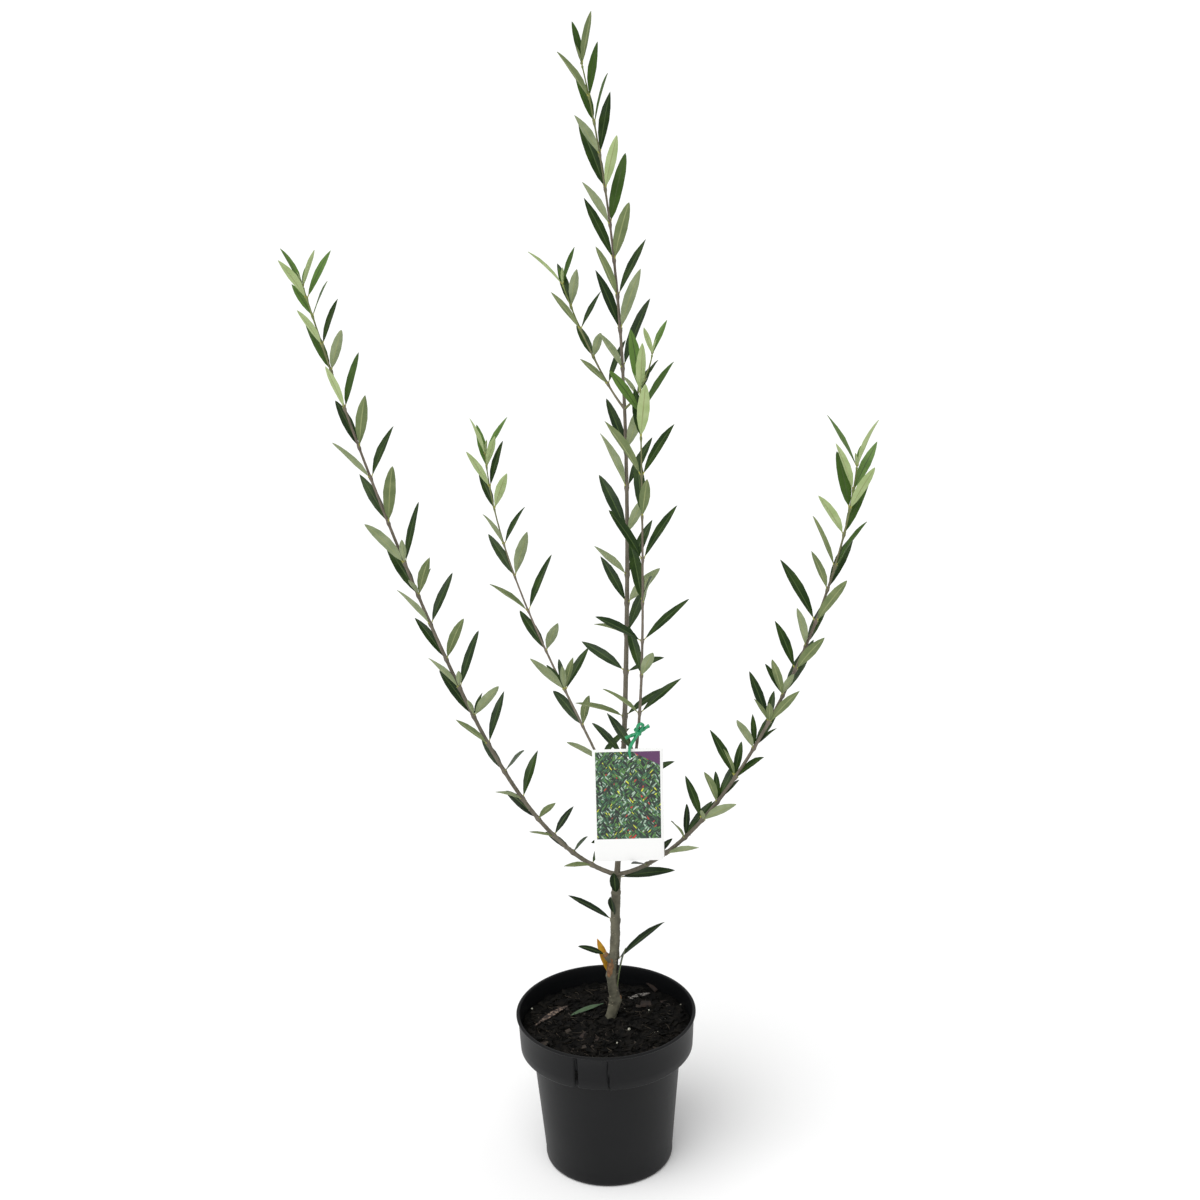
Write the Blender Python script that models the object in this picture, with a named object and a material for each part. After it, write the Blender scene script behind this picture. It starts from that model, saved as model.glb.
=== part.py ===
"""A young olive tree in a round nursery pot, with its hang tag.

Metres, +Z up. The origin is the centre of the pot's flat underside. The trunk forks once into two low
boughs and a leader, and the leader carries a second pair of boughs. Each limb is a tapering tube that
turns evenly from one climb angle to the next, and opposite leaves stand on it in crossed pairs.
"""

import math

import bmesh
import bpy
import numpy as np
from mathutils import Vector
from mathutils.bvhtree import BVHTree

CLEAR = 0.0003  # gap between pieces that touch
WELD = 1e-6  # points closer than this are one
SEED = 11

# Pot: a turned wall with a broad collar round its top
POT_HEIGHT = 0.183
POT_WALL = 0.0018
POT_SIDES = 40
FOOT_RADIUS = 0.0692
BODY_LOW_RADIUS = 0.0720
BODY_TOP_RADIUS = 0.0832
COLLAR_FOOT_RADIUS = 0.0962
COLLAR_TOP_RADIUS = 0.0980
RIM_RADIUS = 0.100
BODY_LOW_Z = 0.012
COLLAR_Z = 0.140
RIM_Z = 0.180
DRAIN_COUNT = 8
DRAIN_RADIUS = 0.0045
DRAIN_RING_RADIUS = 0.052

# Potting mix
SOIL_LEVEL = 0.163
SOIL_RINGS = 6
SOIL_BUMP = 0.0016
SOIL_CALM_RADIUS = 0.022  # the mix is level this close to the trunk

# Limbs, in metres and degrees. "heading" is round +Z from +X, and "swing" is added to it by the tip. A limb
# leaves its parent at the climb angle "leave", eases to "steady" over the share "settle" of its length,
# and bends on to "tip" towards its end. Its radius falls from foot to tip as the power "taper" of what is
# left of its length.
LIMBS = {
    "trunk": {
        "heading": 0,
        "swing": 0,
        "leave": 75,
        "steady": 88,
        "tip": 86,
        "settle": 0.08,
        "length": 0.180,
        "radius": (0.0062, 0.0046),
        "taper": 1,
    },
    "leader": {
        "heading": 0,
        "swing": 0,
        "leave": 85,
        "steady": 88.2,
        "tip": 102,
        "settle": 0.20,
        "length": 0.865,
        "radius": (0.0037, 0.0007),
        "taper": 0.9,
    },
    "bough_left": {
        "heading": 162,
        "swing": 0,
        "leave": 8,
        "steady": 69,
        "tip": 75,
        "settle": 0.13,
        "length": 0.738,
        "radius": (0.0029, 0.0008),
        "taper": 0.7,
    },
    "bough_right": {
        "heading": -22,
        "swing": 0,
        "leave": 20,
        "steady": 65,
        "tip": 84,
        "settle": 0.18,
        "length": 0.570,
        "radius": (0.0027, 0.0007),
        "taper": 0.7,
    },
    "bough_back": {
        "heading": 122,
        "swing": 0,
        "leave": 50,
        "steady": 39,
        "tip": 84,
        "settle": 0.10,
        "length": 0.440,
        "radius": (0.0018, 0.0007),
        "taper": 0.8,
    },
    "bough_front": {
        "heading": -60,
        "swing": -35,
        "leave": 55,
        "steady": 86,
        "tip": 90,
        "settle": 0.20,
        "length": 0.490,
        "radius": (0.0021, 0.0007),
        "taper": 0.8,
    },
    "twig_left": {
        "heading": 150,
        "swing": 0,
        "leave": 45,
        "steady": 62,
        "tip": 70,
        "settle": 0.20,
        "length": 0.140,
        "radius": (0.0013, 0.0007),
        "taper": 0.8,
    },
    "twig_right": {
        "heading": -35,
        "swing": 0,
        "leave": 35,
        "steady": 60,
        "tip": 80,
        "settle": 0.20,
        "length": 0.070,
        "radius": (0.0012, 0.0007),
        "taper": 0.8,
    },
}
TRUNK_FOOT = (0.0048, 0.0151)
UPPER_FORK = 0.080  # how far up the leader the back and front boughs leave it
TWIG_FORK = 0.525  # and the two twigs
FORK_CALM = 0.020  # no leaf pair stands this close to a fork
TIP_POWER = 3
FLARE_RADIUS = 0.0016  # added to the trunk at the ground
FLARE_HEIGHT = 0.009
PATH_STEPS = 96
LIMB_SIDES = 9
STEM_SIDES = 5
RING_SPACING = 0.021

# Leaf pairs, in metres and degrees. "first" is the first pair's distance from the limb's foot, and "gap"
# the distance to the next pair. "open" is the angle between a leaf and the line its pair opens from, and
# "size" the leaf's length. Those three are evenly spaced from foot to tip. "roll" is the heading of the
# first pair, and each next pair stands a quarter turn on. The first "bare" pairs stand on the limb, and
# the rest make up masses.
FOLIAGE = {
    "leader": {
        "first": 0.045,
        "gap": (0.045, 0.042, 0.040, 0.036, 0.020),
        "open": (80, 60, 38, 30, 22),
        "size": (0.052, 0.062, 0.066, 0.066, 0.050),
        "roll": 45,
        "bare": 1,
    },
    "bough_left": {
        "first": 0.030,
        "gap": (0.024, 0.034, 0.044, 0.040, 0.018),
        "open": (60, 46, 36, 28, 27),
        "size": (0.036, 0.052, 0.066, 0.066, 0.050),
        "roll": 45,
        "bare": 3,
    },
    "bough_right": {
        "first": 0.040,
        "gap": (0.024, 0.034, 0.036, 0.034, 0.020),
        "open": (60, 46, 38, 36, 28),
        "size": (0.042, 0.052, 0.062, 0.066, 0.056),
        "roll": 45,
        "bare": 3,
    },
    "bough_back": {
        "first": 0.060,
        "gap": (0.040, 0.050, 0.042, 0.020),
        "open": (60, 44, 36, 27),
        "size": (0.044, 0.060, 0.062, 0.046),
        "roll": 35,
        "bare": 1,
    },
    "bough_front": {
        "first": 0.046,
        "gap": (0.050, 0.046, 0.042, 0.020),
        "open": (66, 48, 34, 22),
        "size": (0.048, 0.060, 0.064, 0.054),
        "roll": 15,
        "bare": 1,
    },
    "twig_left": {
        "first": 0.030,
        "gap": (0.032, 0.026),
        "open": (42, 28),
        "size": (0.044, 0.044),
        "roll": 20,
        "bare": 0,
    },
    "twig_right": {
        "first": 0.022,
        "gap": (0.022, 0.022),
        "open": (44, 28),
        "size": (0.034, 0.032),
        "roll": 45,
        "bare": 0,
    },
}
PAIRS_PER_MASS = 5
BOUGHS = ("leader", "bough_left", "bough_right", "bough_back", "bough_front")
TWIGS = ("twig_left", "twig_right")

# The trunk's own few leaves: (height up the trunk, heading, angle from the trunk, length, twist)
TRUNK_LEAVES = (
    (0.031, -10, 6, 0.058, 10),
    (0.050, 150, 22, 0.046, 0),
    (0.073, 25, 58, 0.066, 0),
    (0.124, 175, 60, 0.0545, 0),
    (0.130, 245, 20, 0.030, 160),
    (0.158, 255, 20, 0.032, 175),
    (0.177, -5, 76, 0.060, 0),
)
YELLOW_LEAF = 2  # the number of the one that has turned

# A leaf is a blade with a flat upper face and a keel below: (share of the length, half width, keel depth)
LEAF_SECTIONS = (
    (0.0, 0.0009, 0.0009),
    (0.30, 0.0064, 0.0012),
    (0.62, 0.0070, 0.0011),
    (0.86, 0.0042, 0.0008),
)
SECTIONS_LENGTH = 0.066  # the length of a leaf whose half widths those are
WIDTH_POWER = 0.7  # a longer or shorter leaf's width changes as this power of its length
LEAF_CURL = 12  # degrees that the blade bends away from the stem over its length
UPTURN = 2.4  # how far leaf pairs turn up from their stem's direction, as parts of upright to one of stem
LEAST_OPEN = 12
GAP_JITTER = 0.12  # the jitters are the spread of a normal draw, in degrees or as a share
ROLL_JITTER = 5
OPEN_JITTER = 6
TWIST_JITTER = 10
SIZE_JITTER = 0.10
DRAW_LIMIT = 2  # draws further out than this many spreads are brought back to it
LEAF_TURNS = (0, 10, -10, 20, -20, 30, -30)  # tried in turn where a leaf would touch something
SEATING_STEPS = 6
ROOT_DEPTH = 0.35  # how far from its stem's axis a fused leaf's root lies, in radii
LOOSE_START = 2.5  # how far from the axis a lone leaf starts before it is seated, in radii

# Stub of a pruned shoot on the trunk, with a leaf still on it, and a pruned bud near the foot
STUB = {"height": 0.070, "heading": 190, "rise": 50, "length": 0.0150, "radius": 0.0040}
BUD = {"height": 0.0235, "heading": 4, "rise": 20, "length": 0.0072, "radius": 0.0024}
PEG_REACH = 0.4  # a peg is this many trunk radii longer than its length, as it starts inside
STUB_LEAF = {"heading": 186, "open": 66, "size": 0.033}

# Hang tag and its tie
TAG_WIDTH = 0.074
TAG_HEIGHT = 0.130
TAG_THICKNESS = 0.0008
TAG_CORNER = 0.0015
TAG_HOLE_RADIUS = 0.0028
TAG_HOLE_DROP = 0.0095  # hole centre below the top edge
TAG_HOLE = (0.0321, -0.0345, 0.5055)
TAG_CENTRE_X = 0.0295
TIE_RADIUS = 0.0013
TIE_HEIGHT_ON_BOUGH = 0.118  # distance up the front bough
TIE_SIDES = 6
TIE_ENDS = ((-0.0135, -0.0016, -0.0050), (0.0115, -0.0016, 0.0085), (0.0030, -0.0050, 0.0125))  # from the knot
TIE_END_RADIUS = 0.0016
LOOP_START = 1.15  # where the loop starts to bend into the hole, in hole radii above its centre
KNOT_RADIUS = 0.0034


# ---- limbs as paths -------------------------------------------------------------------------------


def grow(name, foot):
    """Points along a limb, its tangents and its radii, at PATH_STEPS + 1 even distances."""
    limb = LIMBS[name]
    share = (np.arange(PATH_STEPS) + 0.5) / PATH_STEPS
    easing = (limb["leave"] - limb["steady"]) * np.exp(-share / limb["settle"])
    bending = (limb["tip"] - limb["steady"]) * share**TIP_POWER
    climb = np.radians(limb["steady"] + easing + bending)
    heading = np.radians(limb["heading"] + limb["swing"] * share)
    step = np.stack(
        [np.cos(climb) * np.cos(heading), np.cos(climb) * np.sin(heading), np.sin(climb)], axis=1
    )
    points = np.vstack([[foot], foot + np.cumsum(step, axis=0) * limb["length"] / PATH_STEPS])
    tangents = np.vstack([step[:1], (step[1:] + step[:-1]) / 2, step[-1:]])
    tangents /= np.linalg.norm(tangents, axis=1)[:, None]
    along = np.linspace(0, 1, PATH_STEPS + 1)
    base, tip = limb["radius"]
    radii = tip + (base - tip) * (1 - along) ** limb["taper"]
    if name == "trunk":
        radii = radii + FLARE_RADIUS * np.exp(-along * limb["length"] / FLARE_HEIGHT)
    return {"name": name, "length": limb["length"], "points": points, "tangents": tangents, "radii": radii}


def at(path, distance):
    """Point, tangent and radius at a distance from the limb's foot."""
    spot = np.clip(distance / path["length"], 0, 1) * PATH_STEPS
    grid = np.arange(PATH_STEPS + 1)
    point = np.array([np.interp(spot, grid, path["points"][:, k]) for k in range(3)])
    tangent = np.array([np.interp(spot, grid, path["tangents"][:, k]) for k in range(3)])
    return point, tangent / np.linalg.norm(tangent), float(np.interp(spot, grid, path["radii"]))


def radial(heading):
    """The level direction at a heading."""
    angle = math.radians(heading)
    return np.array([math.cos(angle), math.sin(angle), 0.0])


def square_to(direction, axis):
    """The direction with its part along the axis taken out."""
    left = direction - axis * np.dot(direction, axis)
    return left / np.linalg.norm(left)


def leaf_axis(tangent):
    """The line that a pair's two leaves open from: the stem's own, turned up towards the sky."""
    axis = tangent + np.array([0.0, 0.0, UPTURN])
    return axis / np.linalg.norm(axis)


def grown_paths():
    paths = {"trunk": grow("trunk", np.array([*TRUNK_FOOT, SOIL_LEVEL + CLEAR]))}
    fork = paths["trunk"]["points"][-1]
    leader_foot = fork + paths["trunk"]["tangents"][-1] * CLEAR
    paths["leader"] = grow("leader", leader_foot)
    for name in ("bough_left", "bough_right"):
        paths[name] = grow(name, fork)
    for name in ("bough_back", "bough_front"):
        paths[name] = grow(name, at(paths["leader"], UPPER_FORK)[0])
    for name in TWIGS:
        paths[name] = grow(name, at(paths["leader"], TWIG_FORK)[0])
    return paths


# ---- meshes ---------------------------------------------------------------------------------------


def material(name, colour, roughness, metallic=0.0):
    made = bpy.data.materials.new(name)
    made.use_nodes = True
    shader = made.node_tree.nodes["Principled BSDF"]
    shader.inputs["Base Color"].default_value = (*colour, 1.0)
    shader.inputs["Roughness"].default_value = roughness
    shader.inputs["Metallic"].default_value = metallic
    return made


def mesh_object(name, verts, faces, finish=None):
    mesh = bpy.data.meshes.new(name)
    mesh.from_pydata([tuple(v) for v in verts], [], [tuple(f) for f in faces])
    mesh.validate()
    made = bpy.data.objects.new(name, mesh)
    bpy.context.scene.collection.objects.link(made)
    if finish:
        mesh.materials.append(finish)
    return made


def smooth(obj, angle=40):
    obj.data.shade_smooth()
    obj.data.set_sharp_from_angle(angle=math.radians(angle))


def tube_shape(points, tangents, radii, level, sides):
    """Rings of points round a path, joined by quads and closed by a fan at each end."""
    turn = np.arange(sides) / sides * 2 * math.pi
    verts = []
    for point, tangent, radius in zip(points, tangents, radii):
        inner = np.cross(level, tangent)
        inner /= np.linalg.norm(inner)
        outer = np.cross(tangent, inner)
        verts.extend(point + radius * (math.cos(a) * inner + math.sin(a) * outer) for a in turn)
    rings = len(points)
    faces = []
    for ring in range(rings - 1):
        for k in range(sides):
            low = ring * sides + k
            low_next = ring * sides + (k + 1) % sides
            faces.append((low, low_next, low_next + sides, low + sides))
    verts.extend([points[0], points[-1]])
    first, last = rings * sides, rings * sides + 1
    top = (rings - 1) * sides
    for k in range(sides):
        following = (k + 1) % sides
        faces.append((first, following, k))
        faces.append((last, top + k, top + following))
    return verts, faces


def stem_object(name, path, start, end, sides, grown=0.0, finish=None):
    """The stretch of a limb between two distances as a closed tube, with "grown" added to its radius."""
    count = max(2, round((end - start) / RING_SPACING) + 1)
    if path["name"] == "trunk":
        count *= 2
    spots = [at(path, d) for d in np.linspace(start, end, count)]
    points, tangents, radii = (list(column) for column in zip(*spots))
    if path["name"] == "trunk" and start == 0:
        tangents[0] = np.array([0.0, 0.0, 1.0])  # the trunk stands on a level cut
    heading = math.radians(LIMBS[path["name"]]["heading"])
    level = np.array([-math.sin(heading), math.cos(heading), 0.0])
    verts, faces = tube_shape(points, tangents, np.array(radii) + grown, level, sides)
    return mesh_object(name, verts, faces, finish)


def leaf_shape(root, stem, away, opening, length, twist, sections=LEAF_SECTIONS):
    """A keeled blade that leaves the stem at an angle and bends further away from it."""
    level = np.cross(stem, away)
    wide = (length / SECTIONS_LENGTH) ** WIDTH_POWER
    verts = []
    spot = np.array(root, float)
    last = 0.0
    for share, half_width, keel in (*sections, (1.0, 0.0, 0.0)):
        middle = (share + last) / 2
        angle = math.radians(opening + LEAF_CURL * (middle - 0.4))
        axis = math.cos(angle) * stem + math.sin(angle) * away
        spot = spot + axis * (share - last) * length
        last = share
        upper = math.sin(angle) * stem - math.cos(angle) * away
        side = math.cos(twist) * level + math.sin(twist) * upper
        below = math.cos(twist) * upper - math.sin(twist) * level
        if half_width:
            edge = side * half_width * wide
            verts.extend([spot - edge, spot + edge, spot - below * keel])
        else:
            verts.append(spot)
    rings = len(sections)
    faces = [(0, 2, 1)]
    for ring in range(rings - 1):
        for k in range(3):
            low, low_next = ring * 3 + k, ring * 3 + (k + 1) % 3
            faces.append((low, low_next, low_next + 3))
            faces.append((low, low_next + 3, low + 3))
    tip = rings * 3
    faces.extend((tip - 3 + k, tip - 3 + (k + 1) % 3, tip) for k in range(3))
    return verts, faces


def outward(verts, faces):
    """The same faces, all turned so that the closed shape's volume is positive."""
    corners = np.array(verts)
    volume = sum(np.dot(corners[f[0]], np.cross(corners[f[1]], corners[f[2]])) for f in faces)
    return faces if volume > 0 else [tuple(reversed(f)) for f in faces]


def tree_of(obj):
    """Search tree over the object's finished faces, in world space."""
    evaluated = obj.evaluated_get(bpy.context.evaluated_depsgraph_get())
    mesh = evaluated.to_mesh()
    corners = [evaluated.matrix_world @ vertex.co for vertex in mesh.vertices]
    faces = [tuple(face.vertices) for face in mesh.polygons]
    evaluated.to_mesh_clear()
    return BVHTree.FromPolygons(corners, faces)


def apply_modifiers(obj):
    """Replaces the object's mesh with its evaluated mesh, as triangles and with doubled points welded."""
    graph = bpy.context.evaluated_depsgraph_get()
    graph.update()
    result = bpy.data.meshes.new_from_object(obj.evaluated_get(graph))
    obj.modifiers.clear()
    old = obj.data
    obj.data = result
    bpy.data.meshes.remove(old)
    work = bmesh.new()
    work.from_mesh(result)
    bmesh.ops.remove_doubles(work, verts=work.verts, dist=WELD)
    bmesh.ops.triangulate(work, faces=work.faces)
    work.to_mesh(result)
    work.free()


def fuse(obj, others):
    """Joins the other objects to this one with one union on a collection, and removes them."""
    group = bpy.data.collections.new(obj.name + "_parts")
    bpy.context.scene.collection.children.link(group)
    for other in others:
        for home in list(other.users_collection):
            home.objects.unlink(other)
        group.objects.link(other)
    union = obj.modifiers.new("union", "BOOLEAN")
    union.operation = "UNION"
    union.operand_type = "COLLECTION"
    union.collection = group
    apply_modifiers(obj)
    for other in others:
        bpy.data.objects.remove(other)
    bpy.data.collections.remove(group)


def cut(obj, cutters):
    """Subtracts each cutter, applies the result and removes the cutters."""
    for cutter in cutters:
        difference = obj.modifiers.new("cut", "BOOLEAN")
        difference.operation = "DIFFERENCE"
        difference.object = cutter
    apply_modifiers(obj)
    for cutter in cutters:
        bpy.data.objects.remove(cutter)


# ---- pot and potting mix --------------------------------------------------------------------------


def turned(name, profile, sides, finish):
    """A closed solid turned from a profile that starts and ends on the axis, outer side first."""
    verts = [(0.0, 0.0, profile[0][1])]
    turn = [2 * math.pi * k / sides for k in range(sides)]
    for radius, height in profile[1:-1]:
        verts.extend((radius * math.cos(a), radius * math.sin(a), height) for a in turn)
    verts.append((0.0, 0.0, profile[-1][1]))
    faces = [(0, 1 + (k + 1) % sides, 1 + k) for k in range(sides)]
    for ring in range(len(profile) - 3):
        for k in range(sides):
            low = 1 + ring * sides + k
            low_next = 1 + ring * sides + (k + 1) % sides
            faces.append((low, low_next, low_next + sides, low + sides))
    top = 1 + (len(profile) - 3) * sides
    faces.extend((top + k, top + (k + 1) % sides, len(verts) - 1) for k in range(sides))
    return mesh_object(name, verts, faces, finish)


def make_pot(finish):
    low_inner = BODY_LOW_RADIUS - POT_WALL
    profile = (
        (0.0, 0.0),
        (FOOT_RADIUS, 0.0),
        (BODY_LOW_RADIUS - 0.0004, 0.0030),
        (BODY_LOW_RADIUS, BODY_LOW_Z),
        (BODY_TOP_RADIUS, COLLAR_Z),
        (COLLAR_FOOT_RADIUS - 0.0012, COLLAR_Z),
        (COLLAR_FOOT_RADIUS, COLLAR_Z + 0.0012),
        (COLLAR_TOP_RADIUS, RIM_Z),
        (RIM_RADIUS, RIM_Z + 0.0004),
        (RIM_RADIUS, POT_HEIGHT - 0.0006),
        (RIM_RADIUS - 0.0008, POT_HEIGHT),
        (COLLAR_TOP_RADIUS - POT_WALL, POT_HEIGHT),
        (COLLAR_FOOT_RADIUS - POT_WALL, COLLAR_Z + POT_WALL),
        (BODY_TOP_RADIUS - POT_WALL, COLLAR_Z + POT_WALL),
        (low_inner, BODY_LOW_Z),
        (low_inner - 0.0006, POT_WALL),
        (0.0, POT_WALL),
    )
    pot = turned("pot", profile, POT_SIDES, finish)
    for k in range(DRAIN_COUNT):
        angle = 2 * math.pi * (k + 0.5) / DRAIN_COUNT
        bpy.ops.mesh.primitive_cylinder_add(
            vertices=10,
            radius=DRAIN_RADIUS,
            depth=POT_WALL * 4,
            location=(DRAIN_RING_RADIUS * math.cos(angle), DRAIN_RING_RADIUS * math.sin(angle), 0.0),
        )
        cutter = bpy.context.object
        cutter.name = f"drain_cutter_{k + 1}"
        cutter.hide_render = True
        cutter.display_type = "WIRE"
        hole = pot.modifiers.new(f"drain_{k + 1}", "BOOLEAN")
        hole.operation = "DIFFERENCE"
        hole.object = cutter
    smooth(pot, 30)
    return pot


def soil_height(x, y):
    """Level near the trunk, with low lumps elsewhere and a slight fall towards the wall."""
    from_trunk = math.hypot(x - TRUNK_FOOT[0], y - TRUNK_FOOT[1])
    rough = 1 - math.exp(-((max(0.0, from_trunk - 0.010) / SOIL_CALM_RADIUS) ** 2))
    lumps = math.sin(93 * x + 1.3) * math.cos(71 * y) + 0.6 * math.sin(151 * y - 88 * x)
    fall = (math.hypot(x, y) / COLLAR_FOOT_RADIUS) ** 4 * 0.0015
    return SOIL_LEVEL + rough * (SOIL_BUMP * lumps / 1.6 - fall)


def make_soil(finish):
    """A plug that fills the pot to just under its rim, with an uneven top built ring by ring."""
    gap = POT_WALL + CLEAR
    wall_slope = (COLLAR_TOP_RADIUS - COLLAR_FOOT_RADIUS) / (RIM_Z - COLLAR_Z)
    top_radius = COLLAR_FOOT_RADIUS - gap + (SOIL_LEVEL - COLLAR_Z - POT_WALL) * wall_slope - 0.0004
    sides = [
        (BODY_LOW_RADIUS - gap - 0.0012, gap),
        (BODY_LOW_RADIUS - gap - 0.0004, BODY_LOW_Z),
        (BODY_TOP_RADIUS - gap - 0.0006, COLLAR_Z + gap),
        (COLLAR_FOOT_RADIUS - gap - 0.0010, COLLAR_Z + gap),
    ]
    turn = [2 * math.pi * k / POT_SIDES for k in range(POT_SIDES)]
    verts = [(0.0, 0.0, gap)]
    for radius, height in sides:
        verts.extend((radius * math.cos(a), radius * math.sin(a), height) for a in turn)
    for ring in range(SOIL_RINGS):
        radius = top_radius * (1 - ring / SOIL_RINGS)
        for a in turn:
            x, y = radius * math.cos(a), radius * math.sin(a)
            verts.append((x, y, soil_height(x, y)))
    verts.append((0.0, 0.0, soil_height(0.0, 0.0)))
    faces = [(0, 1 + (k + 1) % POT_SIDES, 1 + k) for k in range(POT_SIDES)]
    rings = len(sides) + SOIL_RINGS
    for ring in range(rings - 1):
        for k in range(POT_SIDES):
            low = 1 + ring * POT_SIDES + k
            low_next = 1 + ring * POT_SIDES + (k + 1) % POT_SIDES
            faces.append((low, low_next, low_next + POT_SIDES))
            faces.append((low, low_next + POT_SIDES, low + POT_SIDES))
    top = 1 + (rings - 1) * POT_SIDES
    faces.extend((top + k, top + (k + 1) % POT_SIDES, len(verts) - 1) for k in range(POT_SIDES))
    soil = mesh_object("soil", verts, faces, finish)
    smooth(soil, 60)
    return soil


# ---- trunk and boughs -----------------------------------------------------------------------------


def peg(name, path, spec):
    """A short blunt tapering peg that grows out of the trunk."""
    point, tangent, radius = at(path, spec["height"])
    rise = math.radians(spec["rise"])
    axis = math.cos(rise) * radial(spec["heading"]) + math.sin(rise) * tangent
    reach = np.array([0.0, 0.55, 1.0]) * (spec["length"] + radius * PEG_REACH)
    points = [point + axis * r for r in reach]
    level = np.cross(tangent, axis)
    level /= np.linalg.norm(level)
    radii = [spec["radius"] * 1.1, spec["radius"], spec["radius"] * 0.85]
    verts, faces = tube_shape(points, [axis] * 3, radii, level, 7)
    return mesh_object(name, verts, faces)


def make_trunk(paths, finish):
    path = paths["trunk"]
    trunk = stem_object("trunk", path, 0.0, path["length"], LIMB_SIDES, finish=finish)
    fuse(trunk, [peg("stub", path, STUB), peg("bud", path, BUD)])
    smooth(trunk)
    return trunk


def make_limbs(paths, plans, finish):
    """The bare foot of each bough, from the limb that carries it to its first mass of leaves."""
    made = {"trunk": make_trunk(paths, finish)}
    for name in BOUGHS:
        end = stretches(name, plans[name])[0][0] - CLEAR
        limb = stem_object(name, paths[name], 0.0, end, LIMB_SIDES, finish=finish)
        if name in ("bough_left", "bough_right"):
            trunk_top = LIMBS["trunk"]["length"]
            below = stem_object("cut_a", paths["trunk"], trunk_top - 0.04, trunk_top, LIMB_SIDES, CLEAR)
            above = stem_object("cut_b", paths["leader"], -CLEAR, 0.04, LIMB_SIDES, CLEAR)
            shift = paths["trunk"]["tangents"][-1] * CLEAR
            for vertex in above.data.vertices:
                vertex.co -= Vector(shift * 2)
            cut(limb, [below, above])
        elif name != "leader":
            low, high = UPPER_FORK - 0.03, UPPER_FORK + 0.02
            cut(limb, [stem_object("cut_c", paths["leader"], low, high, LIMB_SIDES, CLEAR)])
        smooth(limb)
        made[name] = limb
    return made


# ---- leaves ---------------------------------------------------------------------------------------


def lone_leaf(name, path, distance, axis, away, opening, size, twist, bark, finish):
    """One leaf whose stalk is drawn in until its end lies CLEAR of the limb's bark."""
    point, tangent, radius = at(path, distance)
    out = square_to(away, tangent)
    verts, faces = leaf_shape(point + out * radius * LOOSE_START, axis, away, opening, size, twist)
    for _ in range(SEATING_STEPS):
        gap = min(bark.find_nearest(Vector(corner))[3] for corner in verts[:3])
        verts = [corner - out * (gap - CLEAR) for corner in verts]
    return mesh_object(name, verts, outward(verts, faces), finish)


def clashes(tree, obstacles):
    return any(tree.overlap(other) for other in obstacles)


def profile(values, share):
    return float(np.interp(share, np.linspace(0, 1, len(values)), values))


def pair_spots(name, draw):
    """Distances of the leaf pairs from the limb's foot: each is one gap on from the last, and the last
    stands at the tip. A pair at the twigs' fork makes way for them."""
    length = LIMBS[name]["length"]
    gaps = FOLIAGE[name]["gap"]
    spots = [FOLIAGE[name]["first"]]
    while spots[-1] < length:
        spots.append(spots[-1] + profile(gaps, spots[-1] / length) * (1 + GAP_JITTER * draw()))
    spots[-1] = length
    if spots[-1] - spots[-2] < gaps[-1] / 2:
        del spots[-2]
    forks = (UPPER_FORK, TWIG_FORK) if name == "leader" else ()
    return [spot for spot in spots if all(abs(spot - fork) > FORK_CALM for fork in forks)]


def leaf_plan(name):
    """The limb's leaf pairs from foot to tip, each as its distance and two leaves: the leaf's heading, its
    angle to the pair's axis, the twist of its blade and its length."""
    rng = np.random.default_rng([SEED, list(LIMBS).index(name)])

    def draw():
        return float(np.clip(rng.standard_normal(), -DRAW_LIMIT, DRAW_LIMIT))

    foliage = FOLIAGE[name]
    plan = []
    for index, spot in enumerate(pair_spots(name, draw)):
        share = spot / LIMBS[name]["length"]
        roll = foliage["roll"] + 90 * index + ROLL_JITTER * draw()
        leaves = []
        for side in range(2):
            leaves.append(
                {
                    "heading": roll + 180 * side + ROLL_JITTER / 2 * draw(),
                    "open": max(LEAST_OPEN, profile(foliage["open"], share) + OPEN_JITTER * draw()),
                    "twist": math.radians(TWIST_JITTER * draw()),
                    "size": profile(foliage["size"], share) * (1 + SIZE_JITTER * draw()),
                }
            )
        plan.append((spot, leaves))
    return plan


def stretches(name, plan):
    """Where the bare limb ends and each mass begins and ends, halfway between two leaf pairs."""
    bare = FOLIAGE[name]["bare"]
    first_pairs = range(bare, len(plan) - PAIRS_PER_MASS // 2, PAIRS_PER_MASS)
    starts = [(plan[k - 1][0] + plan[k][0]) / 2 for k in first_pairs]
    return list(zip(starts, [*starts[1:], LIMBS[name]["length"]]))


def leaf_pair(name, path, spot, leaves, obstacles, finish, bark=None):
    """Two opposite leaves, sunk into their stem or, where bark is given, seated on it. A leaf that
    touches an obstacle is turned round the stem, and skipped if it still does."""
    point, tangent, radius = at(path, spot)
    axis = leaf_axis(tangent)
    pair = []
    for side, leaf in enumerate(leaves, 1):
        for turn in LEAF_TURNS:
            away = square_to(radial(leaf["heading"] + turn), axis)
            title = f"{name}_{side}"
            if bark:
                spec = (axis, away, leaf["open"], leaf["size"], leaf["twist"])
                made = lone_leaf(title, path, spot, *spec, bark, finish)
            else:
                root = point + square_to(away, tangent) * radius * ROOT_DEPTH
                shape = leaf_shape(root, axis, away, leaf["open"], leaf["size"], leaf["twist"])
                made = mesh_object(title, shape[0], outward(*shape), finish)
            if not clashes(tree_of(made), obstacles):
                pair.append(made)
                break
            bpy.data.objects.remove(made)
    return pair


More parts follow.
